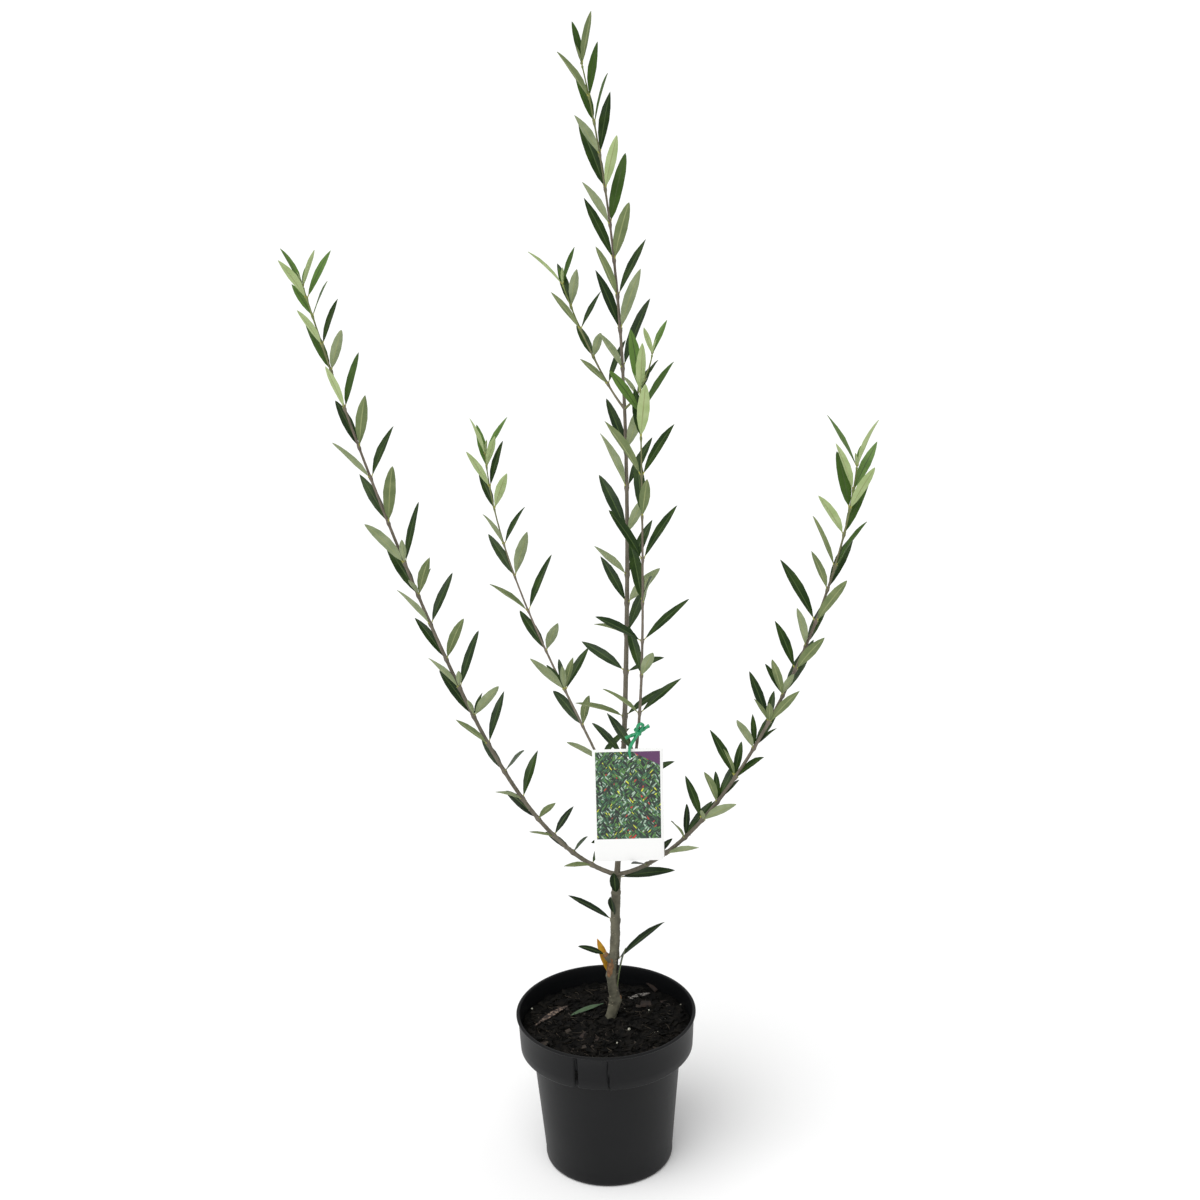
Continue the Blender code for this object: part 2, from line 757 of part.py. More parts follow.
def make_foliage(paths, solids, plans, finishes):
    """Lone leaves on the bare limbs, then each mass: one stem with its leaf pairs fused on."""
    obstacles = {name: tree_of(obj) for name, obj in solids.items()}
    masses = []
    for name in BOUGHS:
        for number, (start, end) in enumerate(stretches(name, plans[name]), 1):
            title = f"{name}_foliage_{number}"
            top = end - (CLEAR if end < LIMBS[name]["length"] else 0)
            stem = stem_object(title, paths[name], start, top, STEM_SIDES, finish=finishes["leaf"])
            masses.append((name, start, end, stem))
            obstacles[title] = tree_of(stem)
    for name in BOUGHS:
        for number, (spot, leaves) in enumerate(plans[name][: FOLIAGE[name]["bare"]], 1):
            title = f"{name}_leaf_{number}"
            others = list(obstacles.values())
            pair = leaf_pair(title, paths[name], spot, leaves, others, finishes["leaf"], obstacles[name])
            for leaf in pair:
                solids[leaf.name] = leaf
                obstacles[leaf.name] = tree_of(leaf)
    make_trunk_leaves(paths, solids, obstacles, finishes)
    for name, start, end, stem in masses:
        others = [tree for key, tree in obstacles.items() if key != stem.name]
        parts = []
        if name == "leader" and start < TWIG_FORK < end:
            parts.extend(make_twigs(paths, plans, others, finishes))
        for number, (spot, leaves) in enumerate(plans[name]):
            if start < spot <= end:
                pair = leaf_pair(f"part_{number}", paths[name], spot, leaves, others, finishes["leaf"])
                others.extend(tree_of(leaf) for leaf in pair)
                parts.extend(pair)
        fuse(stem, parts)
        obstacles[stem.name] = tree_of(stem)
        solids[stem.name] = stem


def make_twigs(paths, plans, others, finishes):
    """The two side twigs of the leader, as loose parts for its mass. Their leaves join the obstacles."""
    parts = []
    for name in TWIGS:
        path = paths[name]
        parts.append(stem_object(name, path, 0.0, path["length"], STEM_SIDES, finish=finishes["leaf"]))
        for number, (spot, leaves) in enumerate(plans[name]):
            pair = leaf_pair(f"{name}_{number}", path, spot, leaves, others, finishes["leaf"])
            others.extend(tree_of(leaf) for leaf in pair)
            parts.extend(pair)
    return parts


def make_trunk_leaves(paths, solids, obstacles, finishes):
    path = paths["trunk"]
    for number, (height, heading, opening, size, twist) in enumerate(TRUNK_LEAVES, 1):
        name = f"trunk_leaf_{number}"
        finish = finishes["yellow_leaf"] if number == YELLOW_LEAF else finishes["leaf"]
        tangent = at(path, height)[1]
        away = square_to(radial(heading), tangent)
        turned = math.radians(twist)
        leaf = lone_leaf(name, path, height, tangent, away, opening, size, turned, obstacles["trunk"], finish)
        solids[name] = leaf
        obstacles[name] = tree_of(leaf)
    point, tangent, radius = at(path, STUB["height"])
    rise = math.radians(STUB["rise"])
    axis = math.cos(rise) * radial(STUB["heading"]) + math.sin(rise) * tangent
    end = point + axis * (STUB["length"] + radius * PEG_REACH + CLEAR)
    away = radial(STUB_LEAF["heading"])
    verts, faces = leaf_shape(end, tangent, away, STUB_LEAF["open"], STUB_LEAF["size"], 0.0)
    leaf = mesh_object("stub_leaf", verts, outward(verts, faces), finishes["leaf"])
    solids["stub_leaf"] = leaf


# ---- hang tag -------------------------------------------------------------------------------------


def make_tag(finish):
    """A card with rounded corners, square to Y, with a punched hole near its top edge."""
    half_width, half_height = TAG_WIDTH / 2, TAG_HEIGHT / 2
    top_z = TAG_HOLE[2] + TAG_HOLE_DROP
    outline = []
    for quarter in range(4):
        corner_x = (half_width - TAG_CORNER) * (1 if quarter in (0, 3) else -1)
        corner_z = (half_height - TAG_CORNER) * (1 if quarter in (0, 1) else -1)
        for step in range(4):
            angle = math.pi / 2 * (quarter + step / 3)
            outline.append((corner_x + TAG_CORNER * math.cos(angle), corner_z + TAG_CORNER * math.sin(angle)))
    work = bmesh.new()
    ring = [work.verts.new((x, -TAG_THICKNESS / 2, z)) for x, z in outline]
    face = work.faces.new(ring)
    made = bmesh.ops.extrude_face_region(work, geom=[face])
    moved = [item for item in made["geom"] if isinstance(item, bmesh.types.BMVert)]
    bmesh.ops.translate(work, verts=moved, vec=(0, TAG_THICKNESS, 0))
    bmesh.ops.recalc_face_normals(work, faces=work.faces)
    mesh = bpy.data.meshes.new("tag")
    work.to_mesh(mesh)
    work.free()
    mesh.materials.append(finish)
    tag = bpy.data.objects.new("tag", mesh)
    tag.location = (TAG_CENTRE_X, TAG_HOLE[1], top_z - half_height)
    bpy.context.scene.collection.objects.link(tag)
    bpy.ops.mesh.primitive_cylinder_add(
        vertices=16, radius=TAG_HOLE_RADIUS, depth=0.01, location=TAG_HOLE, rotation=(math.pi / 2, 0, 0)
    )
    cutter = bpy.context.object
    cutter.name = "tag_hole_cutter"
    cutter.hide_render = True
    cutter.display_type = "WIRE"
    hole = tag.modifiers.new("hole", "BOOLEAN")
    hole.operation = "DIFFERENCE"
    hole.object = cutter
    bpy.context.view_layer.update()
    return tag


def closed_tube(name, points, radius, sides):
    """A round section carried along a closed loop of points that lies near one plane."""
    points = np.array(points)
    tangents = np.roll(points, -1, axis=0) - np.roll(points, 1, axis=0)
    tangents /= np.linalg.norm(tangents, axis=1)[:, None]
    centred = points - points.mean(axis=0)
    normal = np.linalg.svd(centred)[2][2]
    verts = []
    for point, tangent in zip(points, tangents):
        first = normal - tangent * np.dot(normal, tangent)
        first /= np.linalg.norm(first)
        second = np.cross(tangent, first)
        for k in range(sides):
            a = 2 * math.pi * k / sides
            verts.append(point + radius * (math.cos(a) * first + math.sin(a) * second))
    faces = []
    count = len(points)
    for ring in range(count):
        for k in range(sides):
            low, low_next = ring * sides + k, ring * sides + (k + 1) % sides
            up, up_next = (ring + 1) % count * sides + k, (ring + 1) % count * sides + (k + 1) % sides
            faces.append((low, low_next, up_next))
            faces.append((low, up_next, up))
    return mesh_object(name, verts, outward(verts, faces))


def bent_rod(name, points, radius, sides):
    """A short rod through a few points."""
    points = np.array(points)
    tangents = np.gradient(points, axis=0)
    tangents /= np.linalg.norm(tangents, axis=1)[:, None]
    verts, faces = tube_shape(points, tangents, [radius] * len(points), np.array([0.0, 1.0, 0.0]), sides)
    triangles = [t for f in faces for t in ([f] if len(f) == 3 else [f[:3], (f[0], f[2], f[3])])]
    return mesh_object(name, verts, outward(verts, triangles))


def make_tie(paths, finish):
    """A band round the front bough, a loop from its knot through the tag's hole, and its loose ends."""
    point, tangent, radius = at(paths["bough_front"], TIE_HEIGHT_ON_BOUGH)
    reach = radius + CLEAR + TIE_RADIUS * 1.12
    level = np.cross(tangent, [0.0, -1.0, 0.0])
    level /= np.linalg.norm(level)
    front = np.cross(level, tangent)
    turn = np.arange(16) / 16 * 2 * math.pi
    band = [point + reach * (math.cos(a) * front + math.sin(a) * level) for a in turn]
    tie = closed_tube("tag_tie", band, TIE_RADIUS, TIE_SIDES)
    tie.data.materials.append(finish)
    knot = point + front * (reach + TIE_RADIUS)
    if knot[1] > point[1]:
        raise ValueError("the tie's knot has to face the tag")
    hole = np.array(TAG_HOLE)
    slack = TAG_THICKNESS / 2 + CLEAR * 2 + TIE_RADIUS
    over_edge = hole[2] + TAG_HOLE_DROP + TIE_RADIUS
    sag = TAG_HOLE_RADIUS * 0.15  # the loop's lowest point below the hole's centre
    loop = [knot + np.array([-0.0004, -0.0030, 0.0])]
    above = hole[2] + TAG_HOLE_RADIUS * LOOP_START
    for height in (over_edge, above):
        loop.append(np.array([hole[0], hole[1] - slack, height]))
    for angle in np.radians((225, 270, 315)):
        turned_by = slack * 0.8 * np.array([0.0, math.cos(angle), math.sin(angle) + 1])
        loop.append(hole - [0, 0, sag] + turned_by)
    for height in (above, over_edge):
        loop.append(np.array([hole[0], hole[1] + slack, height]))
    loop.append(knot + np.array([0.0, 0.0008, 0.0]))
    strap = closed_tube("strap", loop, TIE_RADIUS, TIE_SIDES)
    ends = []
    for number, way in enumerate(TIE_ENDS, 1):
        tail = [knot + np.array(way) * s for s in (0.0, 0.5, 1.0)]
        ends.append(bent_rod(f"end_{number}", tail, TIE_END_RADIUS, TIE_SIDES))
    bpy.ops.mesh.primitive_ico_sphere_add(subdivisions=1, radius=KNOT_RADIUS, location=knot - [0, 0.0012, 0])
    lump = bpy.context.object
    lump.name = "knot"
    fuse(tie, [strap, *ends, lump])
    smooth(tie)
    return tie


# ---- the whole plant ------------------------------------------------------------------------------


def clear_scene():
    for obj in list(bpy.data.objects):
        bpy.data.objects.remove(obj)


def main():
    clear_scene()
    finishes = {
        "pot": material("pot_black", (0.012, 0.012, 0.013), 0.42),
        "soil": material("potting_mix", (0.018, 0.012, 0.008), 0.95),
        "bark": material("olive_bark", (0.105, 0.098, 0.062), 0.8),
        "leaf": material("olive_leaf", (0.045, 0.085, 0.030), 0.45),
        "yellow_leaf": material("yellowed_leaf", (0.55, 0.26, 0.02), 0.6),
        "card": material("tag_card", (0.80, 0.80, 0.78), 0.4),
        "tie": material("tie_green", (0.0, 0.22, 0.08), 0.4),
    }
    paths = grown_paths()
    solids = {"pot": make_pot(finishes["pot"]), "soil": make_soil(finishes["soil"])}
    plans = {name: leaf_plan(name) for name in FOLIAGE}
    solids.update(make_limbs(paths, plans, finishes["bark"]))
    solids["tag"] = make_tag(finishes["card"])
    solids["tag_tie"] = make_tie(paths, finishes["tie"])
    make_foliage(paths, solids, plans, finishes)
    print(len(solids), "nodes")


main()
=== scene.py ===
import math
from functools import cache
import bpy
import numpy as np
from mathutils import Matrix, Vector
from mathutils.kdtree import KDTree


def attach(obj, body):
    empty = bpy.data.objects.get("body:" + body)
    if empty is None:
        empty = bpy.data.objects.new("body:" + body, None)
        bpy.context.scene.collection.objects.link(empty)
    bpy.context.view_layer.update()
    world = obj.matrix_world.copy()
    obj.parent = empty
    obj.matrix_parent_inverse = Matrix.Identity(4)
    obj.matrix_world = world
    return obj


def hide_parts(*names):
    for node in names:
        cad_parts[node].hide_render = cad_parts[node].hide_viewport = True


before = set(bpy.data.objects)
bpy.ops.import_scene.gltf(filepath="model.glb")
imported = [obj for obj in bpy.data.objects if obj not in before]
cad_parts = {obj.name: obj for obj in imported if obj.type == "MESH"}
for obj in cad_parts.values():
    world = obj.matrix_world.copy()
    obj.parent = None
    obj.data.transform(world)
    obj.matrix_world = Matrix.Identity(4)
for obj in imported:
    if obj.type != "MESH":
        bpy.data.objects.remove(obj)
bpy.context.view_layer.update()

print("frame loaded:", len(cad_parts), "solids")

plantSeed = 11  # for the leaves' places, as in the solids
dressingSeed = 5  # for everything that is only dressing
dressing = np.random.default_rng(dressingSeed)
upwards = np.array([0.0, 0.0, 1.0])
noisePrimes = {"place": (73856093, 19349663, 83492791), "seed": 2654435, "mix": 1274126177}


def unit(vectors):
    return vectors / np.linalg.norm(vectors, axis=-1, keepdims=True)


# level directions at angles from x towards y
def levelWay(turn):
    return np.stack([np.cos(turn), np.sin(turn), np.zeros_like(turn)], axis=-1)


# directions at angles from a first direction towards a second
def circleOf(turn, first, second):
    return np.cos(turn)[..., None] * first + np.sin(turn)[..., None] * second


# the angles of equal steps once round
def onceRound(count):
    return np.arange(count) / count * 2 * math.pi


# 1 at a place, falling smoothly to 0 on both sides
def hump(values, place, width, power=2):
    return np.exp(-(((values - place) / width) ** power))


# smooth noise from 0 to 1: random values on a cubic lattice, eased between the eight corners of each cell
def softNoise(points, scale, seed):
    spot = np.asarray(points, float) * scale
    cell = np.floor(spot).astype(np.int64)
    part = spot - cell
    part = part * part * (3 - 2 * part)
    total = 0
    for corner in np.ndindex(2, 2, 2):
        mixed = np.bitwise_xor.reduce((cell + corner) * noisePrimes["place"], axis=-1) ^ (seed * noisePrimes["seed"])
        mixed = (mixed ^ (mixed >> 13)) * noisePrimes["mix"] & 0x7FFFFFFF
        weight = np.prod(np.where(corner, part, 1 - part), axis=-1)
        total = total + ((mixed >> 7) % 65536) / 65535 * weight
    return total


# the faces and end caps of a grid of rows round a tube; a closed tube joins its last row to its first
def tubeFaces(rows, sides, closed=False, flip=False):
    index = np.arange(rows * sides).reshape(rows, sides)
    index = np.concatenate([index, index[:, :1]], axis=1)
    caps = [] if closed else [tuple(range(sides))[::-1], tuple(range((rows - 1) * sides, rows * sides))]
    if closed:
        index = np.concatenate([index, index[:1]], axis=0)
    low, high = index[:-1], index[1:]
    faces = np.stack([low[:, :-1], low[:, 1:], high[:, 1:], high[:, :-1]], axis=-1).reshape(-1, 4)
    return (faces[:, ::-1], [cap[::-1] for cap in caps]) if flip else (faces, caps)


def tube(surface, closed=False):
    return (surface, *tubeFaces(*surface.shape[:2], closed))


# several shapes as one: each part's faces and caps count on from the points before it
def joined(parts):
    points, faces, caps, start = [], [], [], 0
    for partPoints, partFaces, partCaps in parts:
        points.append(partPoints.reshape(-1, 3))
        faces.append(partFaces + start)
        caps.extend(tuple(corner + start for corner in cap) for cap in partCaps)
        start += len(points[-1])
    return np.vstack(points), np.vstack(faces), caps


def seat(piece, slotName, *nodes):
    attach(piece, "root")
    if nodes:
        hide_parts(*nodes)


def makePiece(name, shape, finishes, slotName=None, nodes=(), faceFinish=None, sharp=None, age=None):
    points, faces, caps = shape
    mesh = bpy.data.meshes.new(name)
    mesh.from_pydata(np.asarray(points, float).reshape(-1, 3).tolist(), [], [*faces.tolist(), *caps])
    for finish in finishes:
        mesh.materials.append(finish)
    if faceFinish is not None:
        mesh.polygons.foreach_set("material_index", np.asarray(faceFinish, np.int32))
    if age is not None:
        mesh.attributes.new("age", "FLOAT", "POINT").data.foreach_set("value", np.asarray(age, np.float32))
    mesh.shade_smooth()
    if sharp:
        mesh.set_sharp_from_angle(angle=math.radians(sharp))
    mesh.update()
    piece = bpy.data.objects.new(name, mesh)
    bpy.context.scene.collection.objects.link(piece)
    if slotName:
        seat(piece, slotName, *nodes)
    return piece


# a shader node with its settings, and its inputs as plain values or as outputs to link
def addNode(tree, kind, inputs=None, **settings):
    node = tree.nodes.new("ShaderNode" + kind)
    for key, value in settings.items():
        setattr(node, key, value)
    for key, value in (inputs or {}).items():
        if isinstance(value, bpy.types.NodeSocket):
            tree.links.new(value, node.inputs[key])
        else:
            node.inputs[key].default_value = value
    return node


def addRamp(tree, value, stops, kind="LINEAR"):
    ramp = addNode(tree, "ValToRGB", {"Fac": value})
    ramp.color_ramp.interpolation = kind
    while len(ramp.color_ramp.elements) < len(stops):
        ramp.color_ramp.elements.new(0.5)
    for element, (position, colour) in zip(ramp.color_ramp.elements, stops):
        element.position = position
        element.color = (*colour, 1)
    return ramp.outputs["Color"]


# A finish is a base colour mottled towards a second one, with bumps as (scale, strength, depth). With ages,
# it is multiplied by colours along the wood, from the tip's at age 0 to the foot's at age 1.
def makeFinish(name, colour, other=None, mottle=60, roughness=0.85, gloss=0.5, bumps=(), spread=(0.35, 0.65),
               stretch=(1, 1, 1), ages=None, coat=None):
    made = bpy.data.materials.new(name)
    made.use_nodes = True
    tree = made.node_tree
    sockets = tree.nodes["Principled BSDF"].inputs
    sockets["Base Color"].default_value = (*colour, 1)
    sockets["Roughness"].default_value = roughness
    sockets["Specular IOR Level"].default_value = gloss
    if coat:
        sockets["Coat Weight"].default_value, sockets["Coat Roughness"].default_value = coat
    place = addNode(tree, "TexCoord").outputs["Object"]
    place = addNode(tree, "Mapping", {"Scale": stretch, "Vector": place}).outputs["Vector"]
    if other:
        noise = addNode(tree, "TexNoise", {"Scale": mottle, "Detail": 5, "Vector": place})
        base = addRamp(tree, noise.outputs["Fac"], list(zip(spread, (colour, other))))
        if ages:
            age = addRamp(tree, addNode(tree, "Attribute", attribute_name="age").outputs["Fac"], ages)
            base = addNode(tree, "Mix", {0: 1.0, 6: age, 7: base}, data_type="RGBA", blend_type="MULTIPLY").outputs[2]
        tree.links.new(base, sockets["Base Color"])
    normal = {}
    for scale, strength, depth in bumps:
        grain = addNode(tree, "TexNoise", {"Scale": scale, "Detail": 4, "Vector": place}).outputs["Fac"]
        bump = addNode(tree, "Bump", {"Strength": strength, "Distance": depth, "Height": grain, **normal})
        normal = {"Normal": bump.outputs["Normal"]}
    if normal:
        tree.links.new(normal["Normal"], sockets["Normal"])
    return made


# The limbs follow the same rule and sizes as the solids. "leave", "steady" and "tip" are climb angles.
limbKeys = ("heading", "swing", "leave", "steady", "tip", "settle", "length", "radius", "taper")
limbSizes = {name: dict(zip(limbKeys, row)) for name, row in {
    "trunk": (0, 0, 75, 88, 86, 0.08, 0.18, (0.0062, 0.0046), 1),
    "leader": (0, 0, 85, 88.2, 102, 0.2, 0.865, (0.0037, 0.0007), 0.9),
    "bough_left": (162, 0, 8, 69, 75, 0.13, 0.738, (0.0029, 0.0008), 0.7),
    "bough_right": (-22, 0, 20, 65, 84, 0.18, 0.57, (0.0027, 0.0007), 0.7),
    "bough_back": (122, 0, 50, 39, 84, 0.1, 0.44, (0.0018, 0.0007), 0.8),
    "bough_front": (-60, -35, 55, 86, 90, 0.2, 0.49, (0.0021, 0.0007), 0.8),
    "twig_left": (150, 0, 45, 62, 70, 0.2, 0.14, (0.0013, 0.0007), 0.8),
    "twig_right": (-35, 0, 35, 60, 80, 0.2, 0.07, (0.0012, 0.0007), 0.8),
}.items()}
growth = {
    "trunkFoot": (0.0048, 0.0151),
    "soilLevel": 0.163,
    "clear": 0.0003,
    "upperFork": 0.08,
    "twigFork": 0.525,
    "forkCalm": 0.02,  # no leaves this close to a fork of the leader
    "steps": 96,
    "flare": (0.0016, 0.009),
}


# the climb angle eases from "leave" to "steady" and bends on to "tip"; the points are the summed steps
def growLimb(name, foot):
    limb = limbSizes[name]
    share = (np.arange(growth["steps"]) + 0.5) / growth["steps"]
    climb = limb["steady"] + (limb["leave"] - limb["steady"]) * np.exp(-share / limb["settle"])
    climb = np.radians(climb + (limb["tip"] - limb["steady"]) * share**3)
    step = circleOf(climb, levelWay(np.radians(limb["heading"] + limb["swing"] * share)), upwards)
    points = np.vstack([[foot], foot + np.cumsum(step, axis=0) * limb["length"] / growth["steps"]])
    tangents = unit(np.vstack([step[:1], (step[1:] + step[:-1]) / 2, step[-1:]]))
    along = np.linspace(0, 1, growth["steps"] + 1)
    base, tip = limb["radius"]
    radii = tip + (base - tip) * (1 - along) ** limb["taper"]
    if name == "trunk":
        radii = radii + growth["flare"][0] * np.exp(-along * limb["length"] / growth["flare"][1])
    level = np.cross(upwards, levelWay(np.radians(limb["heading"])))
    return dict(name=name, length=limb["length"], points=points, tangents=tangents, radii=radii, level=level)


# points, tangents and radii at distances from the limb's foot
def alongLimb(path, distances):
    spot = np.clip(np.asarray(distances, float) / path["length"], 0, 1) * growth["steps"]
    grid = np.arange(growth["steps"] + 1)
    points, tangents = (np.stack([np.interp(spot, grid, line) for line in path[key].T], axis=-1)
                        for key in ("points", "tangents"))
    return points, unit(tangents), np.interp(spot, grid, path["radii"])


# two directions square to the stem, the first in the limb's upright plane
def aroundLimb(path, tangents):
    inner = unit(np.cross(path["level"], tangents))
    return inner, np.cross(tangents, inner)


def squareTo(direction, axis):
    return unit(direction - axis * np.dot(direction, axis))


paths = {"trunk": growLimb("trunk", np.array([*growth["trunkFoot"], growth["soilLevel"] + growth["clear"]]))}
fork = paths["trunk"]["points"][-1]
paths["leader"] = growLimb("leader", fork + paths["trunk"]["tangents"][-1] * growth["clear"])
boughNames = ("leader", "bough_left", "bough_right", "bough_back", "bough_front")
twigNames = ("twig_left", "twig_right")
for limbNames, height in ((boughNames[1:3], None), (boughNames[3:], "upperFork"), (twigNames, "twigFork")):
    for limbName in limbNames:
        paths[limbName] = growLimb(limbName, alongLimb(paths["leader"], growth[height])[0] if height else fork)
print("limbs grown:", len(paths))

# Leaves stand in opposite pairs in crossed order. The gaps, opening angles and sizes are spread evenly along the
# limb, and "bare" counts the pairs that stand alone at its foot.
foliageKeys = ("first", "gap", "open", "size", "roll", "bare")
foliage = {name: dict(zip(foliageKeys, row)) for name, row in {
    "leader": (0.045, (0.045, 0.042, 0.04, 0.036, 0.02), (80, 60, 38, 30, 22),
               (0.052, 0.062, 0.066, 0.066, 0.05), 45, 1),
    "bough_left": (0.03, (0.024, 0.034, 0.044, 0.04, 0.018), (60, 46, 36, 28, 27),
                   (0.036, 0.052, 0.066, 0.066, 0.05), 45, 3),
    "bough_right": (0.04, (0.024, 0.034, 0.036, 0.034, 0.02), (60, 46, 38, 36, 28),
                    (0.042, 0.052, 0.062, 0.066, 0.056), 45, 3),
    "bough_back": (0.06, (0.04, 0.05, 0.042, 0.02), (60, 44, 36, 27), (0.044, 0.06, 0.062, 0.046), 35, 1),
    "bough_front": (0.046, (0.05, 0.046, 0.042, 0.02), (66, 48, 34, 22), (0.048, 0.06, 0.064, 0.054), 15, 1),
    "twig_left": (0.03, (0.032, 0.026), (42, 28), (0.044, 0.044), 20, 0),
    "twig_right": (0.022, (0.022, 0.022), (44, 28), (0.034, 0.032), 45, 0),
}.items()}
leafRule = {
    "upturn": 2.4,
    "curl": 12,
    "curlFrom": 0.4,  # the share of its length at which a blade has the leaf's own angle
    "leastOpen": 12,
    "gapJitter": 0.12,
    "rollJitter": 5,
    "openJitter": 6,
    "twistJitter": 10,
    "sizeJitter": 0.1,
    "drawLimit": 2,
    "turns": (0, 10, -10, 20, -20, 30, -30),
    "pairsPerMass": 5,
    "rootDepth": 0.35,
    "sections": (0, 0.3, 0.62, 0.86, 1.0),
    "onSolid": (0.0006, 0.006),  # how near its solid a leaf's tip lies, in a mass and alone
}


def evenly(values, share):
    return float(np.interp(share, np.linspace(0, 1, len(values)), values))


# a blade's angle from its line at shares of its length: it bends away evenly
def bladeAngle(opened, share):
    return np.radians(opened + leafRule["curl"] * (share - leafRule["curlFrom"]))


# distances of the pairs from the limb's foot, each one gap on from the last, and the last at the tip
def pairSpots(name, draw):
    length, gaps = limbSizes[name]["length"], foliage[name]["gap"]
    spots = [foliage[name]["first"]]
    while spots[-1] < length:
        spots.append(spots[-1] + evenly(gaps, spots[-1] / length) * (1 + leafRule["gapJitter"] * draw()))
    spots[-1] = length
    if spots[-1] - spots[-2] < gaps[-1] / 2:
        del spots[-2]
    forks = (growth["upperFork"], growth["twigFork"]) if name == "leader" else ()
    return [spot for spot in spots if all(abs(spot - place) > growth["forkCalm"] for place in forks)]


def leafPairs(name):
    rng = np.random.default_rng([plantSeed, list(limbSizes).index(name)])

    def draw():
        return float(np.clip(rng.standard_normal(), -leafRule["drawLimit"], leafRule["drawLimit"]))

    rule, pairs = foliage[name], []
    for index, spot in enumerate(pairSpots(name, draw)):
        share = spot / limbSizes[name]["length"]
        roll = rule["roll"] + 90 * index + leafRule["rollJitter"] * draw()
        for side in range(2):
            heading = roll + 180 * side + leafRule["rollJitter"] / 2 * draw()
            opened = max(leafRule["leastOpen"], evenly(rule["open"], share) + leafRule["openJitter"] * draw())
            twist = math.radians(leafRule["twistJitter"] * draw())
            size = evenly(rule["size"], share) * (1 + leafRule["sizeJitter"] * draw())
            pairs.append(dict(limb=name, pair=index, side=side, spot=spot, share=share, heading=heading,
                              open=opened, twist=twist, length=size))
    return pairs


# where each mass of leaves starts and ends on its limb, halfway between two pairs
def massStretches(name, spots):
    each = leafRule["pairsPerMass"]
    starts = [(spots[k - 1] + spots[k]) / 2 for k in range(foliage[name]["bare"], len(spots) - each // 2, each)]
    return list(zip(starts, [*starts[1:], limbSizes[name]["length"]]))


allPairs = {name: leafPairs(name) for name in foliage}
spotsOf = {name: sorted({leaf["spot"] for leaf in allPairs[name]}) for name in foliage}
stretchesOf = {name: massStretches(name, spotsOf[name]) for name in boughNames}


@cache
def nodeTree(nodeName):
    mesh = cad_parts[nodeName].data
    tree = KDTree(len(mesh.vertices))
    for number, vertex in enumerate(mesh.vertices):
        tree.insert(vertex.co, number)
    tree.balance()
    return tree


def solidOf(leaf):
    name, spot = leaf["limb"], leaf["spot"]
    if name in twigNames:
        name, spot = "leader", growth["twigFork"]
    elif leaf["pair"] < foliage[name]["bare"]:
        return f"{name}_leaf_{leaf['pair'] + 1}_{leaf['side'] + 1}"
    number = next(k for k, (start, end) in enumerate(stretchesOf[name], 1) if start < spot <= end)
    return f"{name}_foliage_{number}"


# Where a leaf at a heading starts, the line its pair opens from, and the way it leaves that line. The line is
# the stem's own, turned up towards the sky.
def leafStart(path, spot, heading):
    point, tangent, radius = alongLimb(path, spot)
    axis = unit(tangent + leafRule["upturn"] * upwards)
    away = squareTo(levelWay(np.radians(heading)), axis)
    return point + squareTo(away, tangent) * radius * leafRule["rootDepth"], axis, away


# how far a leaf's tip lies from its solid; the tip is the sum of the steps of a blade that bends away from the line
def tipDistance(leaf, heading):
    root, axis, away = leafStart(paths[leaf["limb"]], leaf["spot"], heading)
    marks = np.array([0, *leafRule["sections"]])
    angle = bladeAngle(leaf["open"], (marks[1:] + marks[:-1]) / 2)
    reach = (np.cos(angle) * np.diff(marks)).sum() * axis + (np.sin(angle) * np.diff(marks)).sum() * away
    return nodeTree(solidOf(leaf)).find(Vector(root + reach * leaf["length"]))[2]


# A leaf that would have touched something was turned a little round its stem, or left out, when the solids were
# made. The turn that was taken is the one whose tip lies on the leaf's solid.
def settle(leaf):
    if solidOf(leaf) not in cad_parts:
        return None
    headings = [leaf["heading"] + turn for turn in leafRule["turns"]]
    distance, heading = min((tipDistance(leaf, heading), heading) for heading in headings)
    if distance > leafRule["onSolid"][leaf["pair"] < foliage[leaf["limb"]]["bare"]]:
        return None
    root, axis, away = leafStart(paths[leaf["limb"]], leaf["spot"], heading)
    return dict(leaf, root=root, stem=axis, away=away, node=solidOf(leaf))


settled = {name: [leaf for leaf in map(settle, allPairs[name]) if leaf] for name in foliage}
print("leaves settled:", {name: len(found) for name, found in settled.items()}, "of", sum(map(len, allPairs.values())))

blade = {
    "rows": (0.0, 0.035, 0.085, 0.18, 0.34, 0.54, 0.74, 0.88, 0.96, 1.0),
    "columns": (-1.0, -0.55, -0.09, 0.09, 0.55, 1.0),
    "steps": 60,
    "halfWidth": 0.0062,
    "forLength": 0.066,
    "widthPower": 0.7,  # shorter leaves are relatively wider
    "widthVary": 0.08,
    "widest": 0.94,  # a power below 1 moves the widest place towards the stalk
    "stalkShare": 0.08,
    "stalkRadius": 0.0008,
    "tipRadius": 0.18,  # in shares of the stalk's
    "thickness": 0.00042,
    "tipThin": (0.9, 0.6),  # past this row the blade has this share of its thickness
    "midrib": 0.00035,
    "trough": (0.14, 0.46),
    "rolledEdge": 0.1,
    "bend": 0.045,
    "wave": (0.06, 9),
    "twistBy": 0.1,  # the twist is complete at this row
    "roundness": (0.6, 0.85),  # a low power gives a blade with blunter ends
    "dressTwist": 0.18,
    "light": (-0.35, -0.85, 0.4),  # the way, near the front, that blades turn to
    "lightShare": 0.42,  # how much of that turn a blade makes on its stalk
    "sharp": 55,
}


